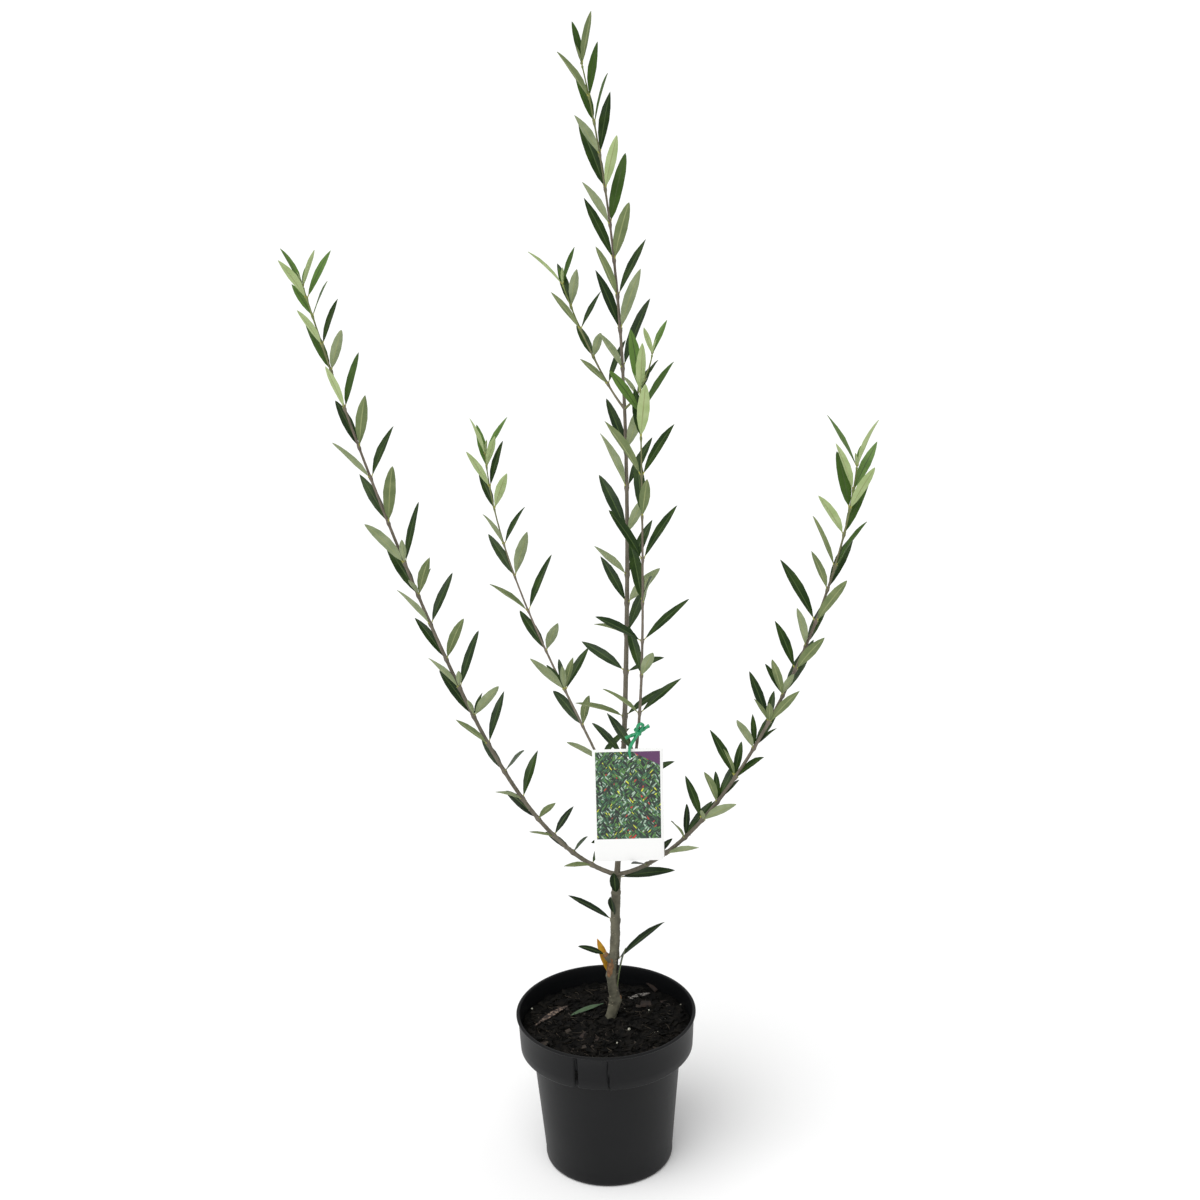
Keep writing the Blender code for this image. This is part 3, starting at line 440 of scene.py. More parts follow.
# Blades on a grid of "rows" along the leaf by a closed ring of columns round it, upper side first. The centre
# line leaves the stem at the leaf's angle and bends away with "curl". The half width is a sine arch over the
# blade past the stalk. Each row's middle lies lowest on the upper side, so the blade is a shallow trough with
# its edges rolled down, and the under side is the upper one less the thickness, with a raised midrib and no
# columns between that and the edges.
def bladePoints(leaves, rng):
    count = len(leaves)
    root, stem, away = (np.array([leaf[key] for leaf in leaves]) for key in ("root", "stem", "away"))
    level = np.cross(stem, away)
    opened, twist, length = (np.array([leaf[key] for leaf in leaves])[:, None] for key in ("open", "twist", "length"))
    free = np.array([leaf["share"] < 1 and leaf["limb"] in foliage for leaf in leaves])[:, None]
    twist = twist + blade["dressTwist"] * np.clip(rng.standard_normal((count, 1)), -2, 2) * free
    # the turn that would bring one side or the other square to the light, by the shorter way round
    face = circleOf(np.radians(opened)[:, 0], -away, stem)
    light = unit(np.array(blade["light"]))
    rest = np.arctan2(-(level @ light), face @ light)[:, None] - twist
    twist = twist + blade["lightShare"] * ((rest + math.pi / 2) % math.pi - math.pi / 2) * free
    wide = np.array([leaf.get("wide", 1.0) for leaf in leaves])[:, None]
    rows, columns = np.array(blade["rows"]), np.array(blade["columns"])
    fine = np.linspace(0, 1, blade["steps"] + 1)
    angle = bladeAngle(opened, (fine[1:] + fine[:-1]) / 2)

    def summed(steps):
        lines = np.concatenate([np.zeros((count, 1)), np.cumsum(steps, 1) / blade["steps"]], axis=1)
        return np.stack([np.interp(rows, fine, line) for line in lines]) * length

    ahead, aside = summed(np.cos(angle)), summed(np.sin(angle))
    centre = root[:, None] + ahead[..., None] * stem[:, None] + aside[..., None] * away[:, None]
    slope = bladeAngle(opened, rows)
    upper = circleOf(slope, -away[:, None], stem[:, None])
    turned = twist * np.minimum(1, rows / blade["twistBy"])
    side = circleOf(turned, level[:, None], upper)
    above = circleOf(turned, upper, -level[:, None])
    s = np.clip((rows - blade["stalkShare"]) / (1 - blade["stalkShare"]), 0, 1)
    arch = np.sin(math.pi * s ** blade["widest"]) ** rng.uniform(*blade["roundness"], (count, 1))
    full = blade["halfWidth"] * wide * (length / blade["forLength"]) ** blade["widthPower"]
    half = full * (1 + blade["widthVary"] * rng.uniform(-1, 1, (count, 1))) * arch
    half = np.maximum(half, blade["stalkRadius"] * np.where(rows < 0.5, 1.0 - 0.3 * rows, blade["tipRadius"]))
    trough = rng.uniform(*blade["trough"], (count, 1, 1))
    bend = blade["bend"] * rng.uniform(-1, 1, (count, 1)) * length * (rows**2 - rows**4)
    size, pace = blade["wave"]
    wave = size * np.sin(rows * pace + rng.uniform(0, 6.28, (count, 1)))[..., None] * columns
    out = np.abs(columns)
    lift = trough * out**1.3 - blade["rolledEdge"] * np.clip(out - 0.5, 0, 1) ** 2 * 4 + wave
    flat = np.clip(s * 8, 0, 1)[None, :, None]
    stalkMore = blade["stalkRadius"] * 1.3 - blade["thickness"]
    thick = (blade["thickness"] + stalkMore * (1 - np.clip(s * 7, 0, 1)))[None, :, None]
    fromRow, share = blade["tipThin"]
    thick = thick * np.where(rows > fromRow, share, 1.0)[None, :, None]
    across = half[..., None] * columns + bend[..., None]
    height = half[..., None] * lift * flat + thick / 2 * (1 - out**3)
    under = height - thick * (1 - out**3) - np.where(out < 0.2, blade["midrib"], 0.0) * flat
    upSide, downSide = (centre[:, :, None] + across[..., None] * side[:, :, None] + rise[..., None] * above[:, :, None]
                        for rise in (height, under))
    return np.concatenate([upSide, downSide[:, :, [len(columns) // 2, len(columns) // 2 - 1]]], axis=2)


ringSize = len(blade["columns"]) + 2
bladeFaces = tubeFaces(len(blade["rows"]), ringSize)
darkGrain, darkSpread = ((900, 0.25, 0.0004),), (0.4, 0.72)
softGrain, underGrain = ((900, 0.2, 0.0004),), ((1500, 0.3, 0.0003),)
leafFinishes = {
    "leafUpperDark": ((0.01, 0.03, 0.003), (0.03, 0.062, 0.006), 60, 0.4, 0.22, darkGrain, darkSpread),
    "leafUpperBluish": ((0.012, 0.03, 0.008), (0.028, 0.052, 0.014), 60, 0.43, 0.22, darkGrain, darkSpread),
    "leafUpperDeep": ((0.0055, 0.015, 0.0035), (0.01, 0.024, 0.006), 60, 0.46, 0.2, darkGrain, darkSpread),
    "leafUpperFresh": ((0.03, 0.072, 0.007), (0.048, 0.102, 0.013), 60, 0.43, 0.22, softGrain),
    "leafUpperTip": ((0.075, 0.155, 0.024), (0.11, 0.2, 0.04), 55, 0.48, 0.25, softGrain),
    "leafUnderSilver": ((0.215, 0.268, 0.136), (0.29, 0.338, 0.189), 70, 0.7, 0.2, underGrain),
    "leafUnderGreen": ((0.135, 0.18, 0.072), (0.19, 0.235, 0.1), 70, 0.68, 0.2, underGrain),
    "leafUnderTip": ((0.33, 0.43, 0.175), (0.41, 0.5, 0.24), 70, 0.66, 0.2, ((1500, 0.25, 0.0003),)),
    "leafMidrib": ((0.045, 0.08, 0.02), (0.06, 0.1, 0.026), 90, 0.5, 0.25),
    "leafUnderRib": ((0.27, 0.31, 0.13), (0.32, 0.36, 0.165), 90, 0.65, 0.2),
    "leafStalk": ((0.42, 0.41, 0.09), (0.33, 0.34, 0.08), 120, 0.55, 0.25),
    "leafTurned": ((0.6, 0.33, 0.012), (0.46, 0.2, 0.01), 150, 0.55, 0.5, ((900, 0.3, 0.0004),)),
    "leafUpperMoss": ((0.046, 0.082, 0.044), (0.064, 0.105, 0.058), 90, 0.55, 0.25, ((900, 0.3, 0.0004),)),
    "leafDried": ((0.022, 0.014, 0.011), (0.2, 0.145, 0.11), 380, 0.85, 0.5, ((700, 0.5, 0.0006),), (0.48, 0.66)),
}
leafMaterials = [makeFinish(name, *row) for name, row in leafFinishes.items()]


# which finish each face of a blade takes: stalk rows, the midrib's strips, and the upper and under sides
def bladeFinish(upper, under, rib="leafMidrib", stalk="leafStalk"):
    upper, under, rib, stalk, underRib = map(list(leafFinishes).index, (upper, under, rib, stalk, "leafUnderRib"))
    sideCount = len(blade["columns"]) - 1
    index = np.full((len(blade["rows"]) - 1, ringSize), under)
    index[:, :sideCount] = upper
    index[:, sideCount // 2] = rib
    index[:, sideCount + 1] = underRib
    index[:2] = stalk
    return index.ravel(), [stalk, under]


toneRule = {
    "deepBelow": 0.31,
    "someDeepBelow": 0.42,
    "leaderPale": 0.35,  # the leader's tip is less pale than the others
    "tipFrom": 0.93,
    "freshFrom": 0.8,
    # upper and under finish, how often each is dealt, and what is dealt otherwise
    "deep": (("leafUpperDeep", 1, "leafUpperDeep"), ("leafUnderGreen", 0.9, "leafUnderSilver")),
    "tip": (("leafUpperTip", 0.6, "leafUpperFresh"), ("leafUnderTip", 1, "leafUnderGreen")),
    "fresh": (("leafUpperFresh", 0.55, "leafUpperDark"), ("leafUnderTip", 0.45, "leafUnderSilver")),
    "plain": (("leafUpperDark", 0.65, "leafUpperBluish"), ("leafUnderSilver", 0.5, "leafUnderGreen")),
}


# the tips of the shoots are pale and fresh, the rest dark, with a bluish or greener leaf here and there, and
# the lowest leaves are the deepest
def dealTones(leaf, rng):
    draws, height = rng.random(2), leaf["root"][2]
    share = leaf["share"] if leaf["limb"] in foliage else 0
    kind = "tip" if share > toneRule["tipFrom"] else "fresh" if share > toneRule["freshFrom"] else "plain"
    if height < toneRule["deepBelow"] or (height < toneRule["someDeepBelow"] and draws[0] < 0.6):
        kind = "deep"
    pale = toneRule["leaderPale"] if leaf["limb"] == "leader" and kind in ("tip", "fresh") else 1
    tones = [usual if draw < often * pale else other for draw, (usual, often, other) in zip(draws, toneRule[kind])]
    if kind == "fresh" and draws[1] > 0.7:
        tones[1] = "leafUnderGreen"
    return tones


def makeLeaves(name, leaves, slotName="olive_leaf", nodes=(), tones=None):
    shape = joined([(points, *bladeFaces) for points in bladePoints(leaves, dressing)])
    bodies, ends = zip(*[bladeFinish(*(tones or dealTones(leaf, dressing))) for leaf in leaves])
    makePiece(name, shape, leafMaterials, slotName, nodes, np.concatenate([*bodies, *ends]), blade["sharp"])


def singleLeaf(root, stem, away, opened, length, twist=0.0, wide=1.0, limb=None, share=0.2):
    return dict(root=root, stem=stem, away=away, open=opened, length=length, twist=twist, wide=wide, limb=limb,
                share=share)


# two small young leaves stand nearly shut at each shoot's end, a quarter turn from the last pair
tipLeaf = {"length": (0.015, 0.021), "open": 14, "wide": 0.75}


def tipPair(name):
    starts = [leafStart(paths[name], paths[name]["length"], allPairs[name][-1]["heading"] + turn) for turn in (90, 270)]
    return [singleLeaf(*start, tipLeaf["open"], dressing.uniform(*tipLeaf["length"]), wide=tipLeaf["wide"], limb=name,
                       share=1.0) for start in starts]


plainNames = dict(zip(boughNames, ("leader", "leftBough", "rightBough", "backBough", "frontBough")))
for limbName in boughNames:
    grown = settled[limbName] + tipPair(limbName)
    if limbName == "leader":
        grown += settled["twig_left"] + settled["twig_right"] + tipPair("twig_left") + tipPair("twig_right")
    nodes = sorted({leaf["node"] for leaf in grown if "node" in leaf})
    makeLeaves(plainNames[limbName] + "Leaves", grown, nodes=nodes)

# the trunk's own few leaves, as in the solids: height up the trunk, heading, angle from the trunk, length, twist
# and, where it is not the usual one, how wide
trunkLeaves = ((0.031, -10, 6, 0.058, 10), (0.05, 150, 22, 0.046, 0), (0.073, 25, 58, 0.066, 0),
               (0.124, 175, 60, 0.0545, -15), (0.13, 245, 20, 0.03, 160, 1.6), (0.158, 255, 20, 0.032, 175, 1.65),
               (0.177, -5, 76, 0.06, 28, 1.15))
stub = {"height": 0.07, "heading": 190, "rise": 50, "length": 0.015, "radius": 0.004}
trunkBud = {"height": 0.0235, "heading": 4, "rise": 20, "length": 0.0072, "radius": 0.0024}
stubLeaf = {"heading": 186, "open": 66, "length": 0.033, "twist": -0.4, "wide": 1.1}
yellow = {"number": 2, "twist": -0.4, "wide": 1.15}


# where a peg on the trunk starts, the way it points, and the trunk's radius and direction there
def pegAxis(peg):
    point, tangent, radius = alongLimb(paths["trunk"], peg["height"])
    return point, circleOf(math.radians(peg["rise"]), levelWay(math.radians(peg["heading"])), tangent), radius, tangent


def trunkLeaf(height, heading, opened, size, twist, wide=0.9):
    point, tangent, radius = alongLimb(paths["trunk"], height)
    away = squareTo(levelWay(math.radians(heading)), tangent)
    root = point + away * radius * 0.6
    return singleLeaf(root, tangent, away, opened, size + radius * 0.4, math.radians(twist), wide)


grown = [trunkLeaf(*numbers) for numbers in trunkLeaves]
nodes = [f"trunk_leaf_{k + 1}" for k in range(len(trunkLeaves))]
yellowLeaf, yellowNode = dict(grown.pop(yellow["number"] - 1), **yellow), nodes.pop(yellow["number"] - 1)
start, axis, radius, tangent = pegAxis(stub)
grown.append(dict(stubLeaf, limb=None, share=0.2, root=start + axis * (stub["length"] + radius * 0.2), stem=tangent,
                  away=levelWay(math.radians(stubLeaf["heading"]))))
makeLeaves("trunkLeaves", grown, nodes=[*nodes, "stub_leaf"])
makeLeaves("yellowLeaf", [yellowLeaf], "yellow_leaf", [yellowNode], ["leafTurned"] * 3)
print("leaves made")

bark = {
    "ringGap": 0.0011,
    "sides": 16,
    "lumps": 0.00022,
    "trunkRingGap": 0.0007,
    "trunkSides": 44,
    "trunkLumps": 0.0008,
    "joint": (0.0006, 0.0026),
    "trunkJoints": (0.0235, 0.0545, 0.079, 0.124, 0.158),
    "collar": (0.00055, 0.006),
    "ridges": (0.03, 5, 14),  # height, how many round the limb, and how they wind along it
    "noise": (420, 900),
    "endRound": 0.0012,
    "slim": 0.86,  # a bough's bare stretches lie this far out, its swellings reach the solid's radius
    "trunkSlim": 0.95,
    "greenLength": 0.5,  # past this far from its tip the wood is grey
    "sways": ((0.022, 0.0018, 0.012), (0.058, -0.0019, 0.02)),  # height, shift to the right and half length
    # swellings of the trunk: height, heading, size and half length
    "bulges": ((0.02, 15, 0.0013, 0.009), (0.06, 200, 0.0012, 0.015), (0.104, 10, 0.0006, 0.02),
               (0.14, 200, 0.0008, 0.014)),
    "scar": 0.00028,
    "neck": (0.16, 0.009),  # the trunk is slimmer where it leaves the mix
    "rootDepth": 0.004,
    "tongue": (0.067, 0.0115, 228, 44),  # torn bark below the stub: middle height, half length, heading, half angle
    "pegRows": 14,
    "pegSides": 18,
}
woodAges = ((0.0, (0.23, 0.29, 0.085)), (0.15, (0.19, 0.195, 0.095)), (0.32, (0.185, 0.15, 0.118)),
            (0.65, (0.18, 0.154, 0.118)), (1.0, (0.155, 0.138, 0.104)))
limbBark = makeFinish("limbBark", (1.0, 1.0, 1.0), (0.72, 0.72, 0.7), 260, 0.66, 0.3,
                      ((700, 0.5, 0.0006), (2500, 0.3, 0.0003)), stretch=(1, 1, 0.4), ages=woodAges)
trunkBark = makeFinish("trunkBark", (0.14, 0.132, 0.09), (0.056, 0.054, 0.036), 110, 0.78, 0.5,
                       ((420, 0.6, 0.0009), (1600, 0.4, 0.0004)), (0.32, 0.72), (1, 1, 0.55))
cutWood = makeFinish("cutWood", (0.23, 0.12, 0.048), (0.105, 0.052, 0.026), 300, bumps=((900, 0.6, 0.0005),))
lenticel = makeFinish("lenticels", (0.3, 0.26, 0.19), (0.2, 0.17, 0.12), 700)


# A tube on a grid of distance along the limb by turn round it. The radius is the limb's own, plus a ring of
# swelling at every leaf pair, a collar at the foot, low ridges that run along, and soft lumps.
def limbSurface(path, distances, sides, spots, lumps, seed):
    points, tangents, radii = alongLimb(path, distances)
    inner, outer = aroundLimb(path, tangents)
    turn = onceRound(sides)
    size, width = bark["joint"]
    swelling = sum((size * hump(distances, spot, width) for spot in spots), np.zeros(len(distances)))
    circle = circleOf(turn, inner[:, None], outer[:, None])
    rough = points[:, None] + circle * radii[:, None, None]
    ridge, around, wind = bark["ridges"]
    relief = ridge * radii[:, None] * np.sin(around * turn + wind * distances[:, None])
    coarse, fine = bark["noise"]
    noise = softNoise(rough * (1, 1, 0.35), coarse, seed) + 0.5 * softNoise(rough, fine, seed + 1)
    relief = relief + lumps * (noise - 0.75)
    collarSize, collarLength = bark["collar"]
    isTrunk = path["name"] == "trunk"
    slim, foot = (bark["trunkSlim"], 0) if isTrunk else (bark["slim"], collarSize * np.exp(-distances / collarLength))
    whole = (slim * radii + foot)[:, None] + swelling[:, None] * (1 + 0.35 * np.cos(2 * turn)) + relief
    return points[:, None] + circle * whole[..., None]


def makeLimb(names, title, nodes):
    parts, ages = [], []
    for name in names:
        path, sides = paths[name], bark["sides"]
        distances = np.linspace(0.0, path["length"], int(path["length"] / bark["ringGap"]) + 1)
        seed = 20 + list(limbSizes).index(name)
        surface = limbSurface(path, distances, sides, spotsOf[name], bark["lumps"], seed)
        closing = np.clip((path["length"] - distances) / bark["endRound"], 0, 1) ** 0.5
        middle = alongLimb(path, distances)[0][:, None]
        parts.append(tube(middle + (surface - middle) * np.maximum(closing, 0.08)[:, None, None]))
        ages.append(np.repeat(np.clip((path["length"] - distances) / bark["greenLength"], 0, 1), sides))
    makePiece(title, joined(parts), [limbBark], "olive_bark", nodes, age=np.concatenate(ages))


for limbName in boughNames:
    names = (limbName, *twigNames) if limbName == "leader" else (limbName,)
    nodes = [limbName] + [f"{limbName}_foliage_{k + 1}" for k in range(len(stretchesOf[limbName]))]
    makeLimb(names, plainNames[limbName] + "Bark", nodes)


# a round peg that tapers to its cut end
def pegSurface(peg, seed):
    root, axis, radius, tangent = pegAxis(peg)
    along = np.linspace(0, 1, bark["pegRows"])
    reach = along * (peg["length"] + radius * 0.4)
    level = unit(np.cross(tangent, axis))
    size = peg["radius"] * (1.12 - 0.3 * along**2)
    size[-1] *= 0.88
    ring = circleOf(onceRound(bark["pegSides"]), level, np.cross(axis, level))
    shape = root + reach[:, None, None] * axis + size[:, None, None] * ring[None]
    return shape + ring[None] * (0.0006 * (softNoise(shape, 520, seed) - 0.5))[..., None]


def makeTrunk():
    path, sides = paths["trunk"], bark["trunkSides"]
    distances = np.linspace(0.0, path["length"], int(path["length"] / bark["trunkRingGap"]) + 1)
    surface = limbSurface(path, distances, sides, bark["trunkJoints"], bark["trunkLumps"], 51)
    turn, up = onceRound(sides), distances[:, None]
    # the bark's scars: short ridges that run round, one below another
    scars = bark["scar"] * np.clip(np.sin(up * 820 + 3 * np.sin(2 * turn + 1)), 0.4, 1)
    scars = scars * (softNoise(surface, 160, 77) > 0.55)
    middle = alongLimb(path, distances)[0][:, None]
    for height, heading, size, long in bark["bulges"]:
        scars = scars + size * hump(up, height, long) * np.clip(np.cos(turn - math.radians(heading)), 0, 1)
    surface = surface + unit(surface - middle) * scars[..., None]
    slimmer, neckLength = bark["neck"]
    surface = middle + (surface - middle) * (1 - slimmer * hump(distances, 0, neckLength))[:, None, None]
    for height, shift, long in bark["sways"]:
        surface[..., 0] += shift * hump(up, height, long)
    surface[0, :, 2] = path["points"][0][2] - bark["rootDepth"]
    height, long, heading, spread = bark["tongue"]
    aside = (np.degrees(turn) - heading + 180) % 360 - 180
    ragged = 0.5 * (softNoise(surface[:-1], 500, 79) - 0.5)
    torn = ((up[:-1] - height) / long) ** 2 + (aside / spread) ** 2 + ragged < 1
    pegFinish = np.zeros((bark["pegRows"] - 1, bark["pegSides"]), int)
    pegFinish[-2:] = 1
    faceFinish = [torn.ravel(), pegFinish.ravel(), pegFinish.ravel(), [0, 0, 0, 1, 0, 1]]
    shape = joined([tube(surface), tube(pegSurface(stub, 90)), tube(pegSurface(trunkBud, 91))])
    makePiece("trunkBark", shape, [trunkBark, cutWood], "olive_bark", ["trunk"], np.concatenate(faceFinish), 60)


makeTrunk()


# a ball of rings with few faces
def ballShape(rows, sides):
    polar = np.linspace(0.12, math.pi - 0.12, rows)[:, None]
    around = levelWay(onceRound(sides)[None])
    return tube(np.sin(polar)[..., None] * around - np.cos(polar)[..., None] * upwards)


# copies of a shape, roughened, stretched, turned and set down as whole arrays
def strewn(name, shape, frames, centres, sizes, finish, slotName, jitter=0.0, seed=0, sharp=None):
    points, faces, caps = shape
    points = points.reshape(-1, 3)
    rough = 1 + jitter * np.random.default_rng(seed).uniform(-1, 1, (len(centres), len(points), 1))
    placed = np.einsum("nij,nkj->nki", frames, points[None] * rough * sizes[:, None]) + centres[:, None]
    makePiece(name, joined([(copy, faces, caps) for copy in placed]), [finish], slotName, sharp=sharp)


# turned frames, whose columns are a piece's own x, y and z
def framesFrom(third, first):
    third = unit(third)
    second = unit(np.cross(third, first))
    return np.stack([np.cross(second, third), second, third], axis=-1)


# a small bud stands in the corner between each leaf and its stem, and one closes every shoot
bud = {"size": (0.0007, 0.0007, 0.0013), "out": 0.0004, "up": 0.0016,
       "tipSize": (0.0009, 0.0009, 0.0026), "tipUp": 0.0014}
buds = []
for limbName in foliage:
    for leaf in settled[limbName]:
        point, tangent, radius = alongLimb(paths[limbName], leaf["spot"])
        spot = point + leaf["away"] * (radius + bud["out"]) + tangent * bud["up"]
        buds.append((spot, tangent + 0.5 * leaf["away"], bud["size"]))
    point, tangent, radius = alongLimb(paths[limbName], paths[limbName]["length"])
    buds.append((point + tangent * bud["tipUp"], tangent, bud["tipSize"]))
spots, ways, sizes = map(np.array, zip(*buds))
budFinish = makeFinish("budGreen", (0.22, 0.25, 0.1), (0.16, 0.18, 0.08), 300, 0.6)
strewn("leafBuds", ballShape(4, 6), framesFrom(ways, np.array([0.3, 0.5, 0.1])), spots, sizes, budFinish, "olive_leaf")

# raised pale dots on the trunk and the boughs' feet: how far up each limb and how many
dots = {"trunk": (0.178, 90), "leader": (0.2, 40), "bough_left": (0.16, 30), "bough_right": (0.13, 26),
        "bough_back": (0.08, 12), "bough_front": (0.08, 12)}
dotSizes = ((0.00035, 0.0005), (0.0003, 0.00045), (0.0005, 0.001))
spots, ways, sizes = [], [], []
for limbName, (top, count) in dots.items():
    at, turn = dressing.uniform(0.012, top, count), dressing.uniform(0, 2 * math.pi, count)
    point, tangent, radius = alongLimb(paths[limbName], at)
    way = circleOf(turn, *aroundLimb(paths[limbName], tangent))
    spots.append(point + way * radius[:, None])
    ways.append(np.cross(way, tangent))
    sizes.append(np.stack([dressing.uniform(*ends, count) for ends in dotSizes], axis=1))
spots, ways, sizes = map(np.vstack, (spots, ways, sizes))
frames = framesFrom(ways, np.array([0.1, 0.2, 1.0]))
strewn("lenticelDots", ballShape(4, 6), frames, spots, sizes, lenticel, "olive_bark")
print("bark made")

pot = {
    "sides": 720,
    "profile": (  # radius and height in millimetres, foot to rim and back down the inside
        (0, 0), (30, 0), (66.4, 0), (68.8, 0.2), (70.2, 0.8), (71.2, 2), (71.9, 5), (72, 12), (74, 36), (76.3, 63),
        (78.6, 90), (81.2, 120), (82.9, 136), (83.4, 138.9), (84.4, 139.8), (89, 140), (94.2, 140.2), (95.5, 140.7),
        (96.2, 141.8), (96.7, 151), (97.3, 164), (97.9, 178), (98.2, 179.6), (99, 180.2), (99.7, 180.8),
        (100, 181.4), (100, 182.2), (99.6, 182.8), (98.8, 183), (97.4, 183), (96.6, 182.7), (96.2, 181.7),
        (95.7, 172), (95.2, 160), (94.4, 143.2), (93.2, 141.8), (81.6, 141.8), (81, 139.5), (78.3, 105), (75.4, 70),
        (70.2, 12), (69.6, 3), (68.4, 1.8), (30, 1.8), (0, 1.8)),
    "seat": (-21.8, -1.4),  # degrees round from the front, at the rim
    "seatEdge": 0.1,
    "seatSlant": (3.2, 0.183, 0.043),  # degrees that its right edge moves on, from this height over this drop
    "seatDepth": 0.0011,
    # in shares of that depth: size, degrees past its left or right edge, and half width
    "grooves": ((2.6, 1.0, 1.1), (0.8, -0.55, 0.42)),
    "lip": (1.6, 0.5, 0.42),
    # how deep it is at the collar's rows from these on; the inside follows, so the wall stays as thick
    "seatRows": ((13, (0, 0.8, 1, 1, 1, 1, 1, 0.6)), (31, (0.9, 1, 1, 0.5))),
    "drains": 8,
    "drainRadius": 0.0045,
    "drainRing": 0.052,
    "sharp": 42,
}
potFinish = makeFinish("potPlastic", (0.0028, 0.0031, 0.0036), (0.0042, 0.0045, 0.0052), 18, 0.48, 0.2,
                       ((1400, 0.12, 0.0003), (60, 0.05, 0.0008)), (0.3, 0.7))


# The wall is a profile carried round the axis. Between two angles at the front, the collar steps in a little for
# a label's seat, with a groove along each side and a lip past the right one.
def makePot():
    profile, sides = np.array(pot["profile"]) / 1000, pot["sides"]
    turn = onceRound(sides)
    fromFront = np.degrees(np.arctan2(np.cos(turn), -np.sin(turn)))
    radius, height = (np.repeat(line[1:-1, None], sides, axis=1) for line in profile.T)
    left, right = pot["seat"]
    slant, top, drop = pot["seatSlant"]
    right = right + slant * np.clip((top - height) / drop, 0, 1)
    pastLeft, pastRight = fromFront - left, fromFront - right
    inSeat = 1 / (1 + np.exp(-pastLeft / pot["seatEdge"])) / (1 + np.exp(pastRight / pot["seatEdge"]))
    onCollar = np.zeros((len(profile) - 2, 1))
    for first, shares in pot["seatRows"]:
        onCollar[first:first + len(shares), 0] = shares
    groove = sum(size * hump(past, *at, 4) for past, (size, *at) in zip((pastLeft, pastRight), pot["grooves"]))
    lip = pot["lip"][0] * hump(pastRight, *pot["lip"][1:])
    radius = radius - pot["seatDepth"] * onCollar * (0.9 * inSeat + groove - lip)
    wall = np.stack([radius * np.cos(turn), radius * np.sin(turn), height], axis=-1).reshape(-1, 3)
    points = np.vstack([profile[0, 1] * upwards, wall, profile[-1, 1] * upwards])
    ring = np.arange(1, sides + 1)
    following, last = np.roll(ring, -1), len(wall) - sides
    hub = np.zeros_like(ring)
    fans = [*np.stack([hub, following, ring], 1).tolist(),
            *np.stack([ring + last, following + last, hub + len(points) - 1], 1).tolist()]
    faces = tubeFaces(len(profile) - 2, sides)[0] + 1
    piece = makePiece("potWall", (points, faces, fans), [potFinish], sharp=pot["sharp"])
    cutters = []
    for angle in 2 * math.pi * (np.arange(pot["drains"]) + 0.5) / pot["drains"]:
        place = pot["drainRing"] * levelWay(angle)
        bpy.ops.mesh.primitive_cylinder_add(vertices=24, radius=pot["drainRadius"], depth=0.008, location=place)
        cutters.append(bpy.context.object)
        hole = piece.modifiers.new("hole", "BOOLEAN")
        hole.operation, hole.object = "DIFFERENCE", cutters[-1]
    graph = bpy.context.evaluated_depsgraph_get()
    whole = bpy.data.meshes.new_from_object(piece.evaluated_get(graph))
    piece.modifiers.clear()
    piece.data = whole
    for cutter in cutters:
        bpy.data.objects.remove(cutter)
    whole.set_sharp_from_angle(angle=math.radians(pot["sharp"]))
    seat(piece, "pot_black", "pot")


makePot()
print("pot made")

mix = {
    "radius": 0.0944,
    "innerRadius": 0.0004,
    "rings": 110,
    "sides": 300,
    "bump": 0.0016,
    "calm": 0.022,
    "clear": 0.01,  # round the trunk
    "fall": (0.0962, 0.0015),
    "clods": ((0.0052, 75, 3), (0.004, 170, 4), (0.0022, 420, 5)),  # size, fineness and seed
    "sink": 0.005,
    "floor": 0.15,
    "chips": 1500,
    "paleChips": 46,
    "chipWidth": (0.25, 0.75),  # in shares of its length
    "chipThick": (0.0004, 0.0011),
    "chipRise": (-0.0008, 0.001),
    "chipsWithin": 0.0915,
    "strewnWithin": 0.088,
}
barkGrain = ((900, 0.8, 0.0008),)
mixFinish = makeFinish("mixDark", (0.0008, 0.0008, 0.0007), (0.004, 0.0037, 0.0029), 190, 0.95, 0.12,
                       ((700, 1.0, 0.0016), (2400, 0.7, 0.0006)), (0.38, 0.7))
chipFinish = makeFinish("barkChips", (0.0012, 0.0011, 0.0009), (0.0095, 0.0078, 0.0056), 130, 0.88, 0.15, barkGrain,
                        (0.4, 0.75))
paleChipFinish = makeFinish("paleChips", (0.016, 0.011, 0.0075), (0.044, 0.031, 0.021), 160, 0.85, 0.5, barkGrain,
                            (0.4, 0.75))
fibreFinish = makeFinish("fibres", (0.022, 0.016, 0.01), (0.055, 0.042, 0.027), 200)
gritFinish = makeFinish("grit", (0.5, 0.5, 0.42), (0.28, 0.27, 0.22), 500, 0.9, bumps=((1500, 0.6, 0.0004),))
shredFinish = makeFinish("paleShred", (0.02, 0.017, 0.015), (0.3, 0.28, 0.26), 900, bumps=((900, 0.6, 0.0006),),
                         spread=(0.46, 0.6))
redChipFinish = makeFinish("reddishChips", (0.008, 0.0045, 0.003), (0.026, 0.014, 0.009), 240, bumps=barkGrain)


def fromTrunk(x, y):
    return np.hypot(x - growth["trunkFoot"][0], y - growth["trunkFoot"][1])


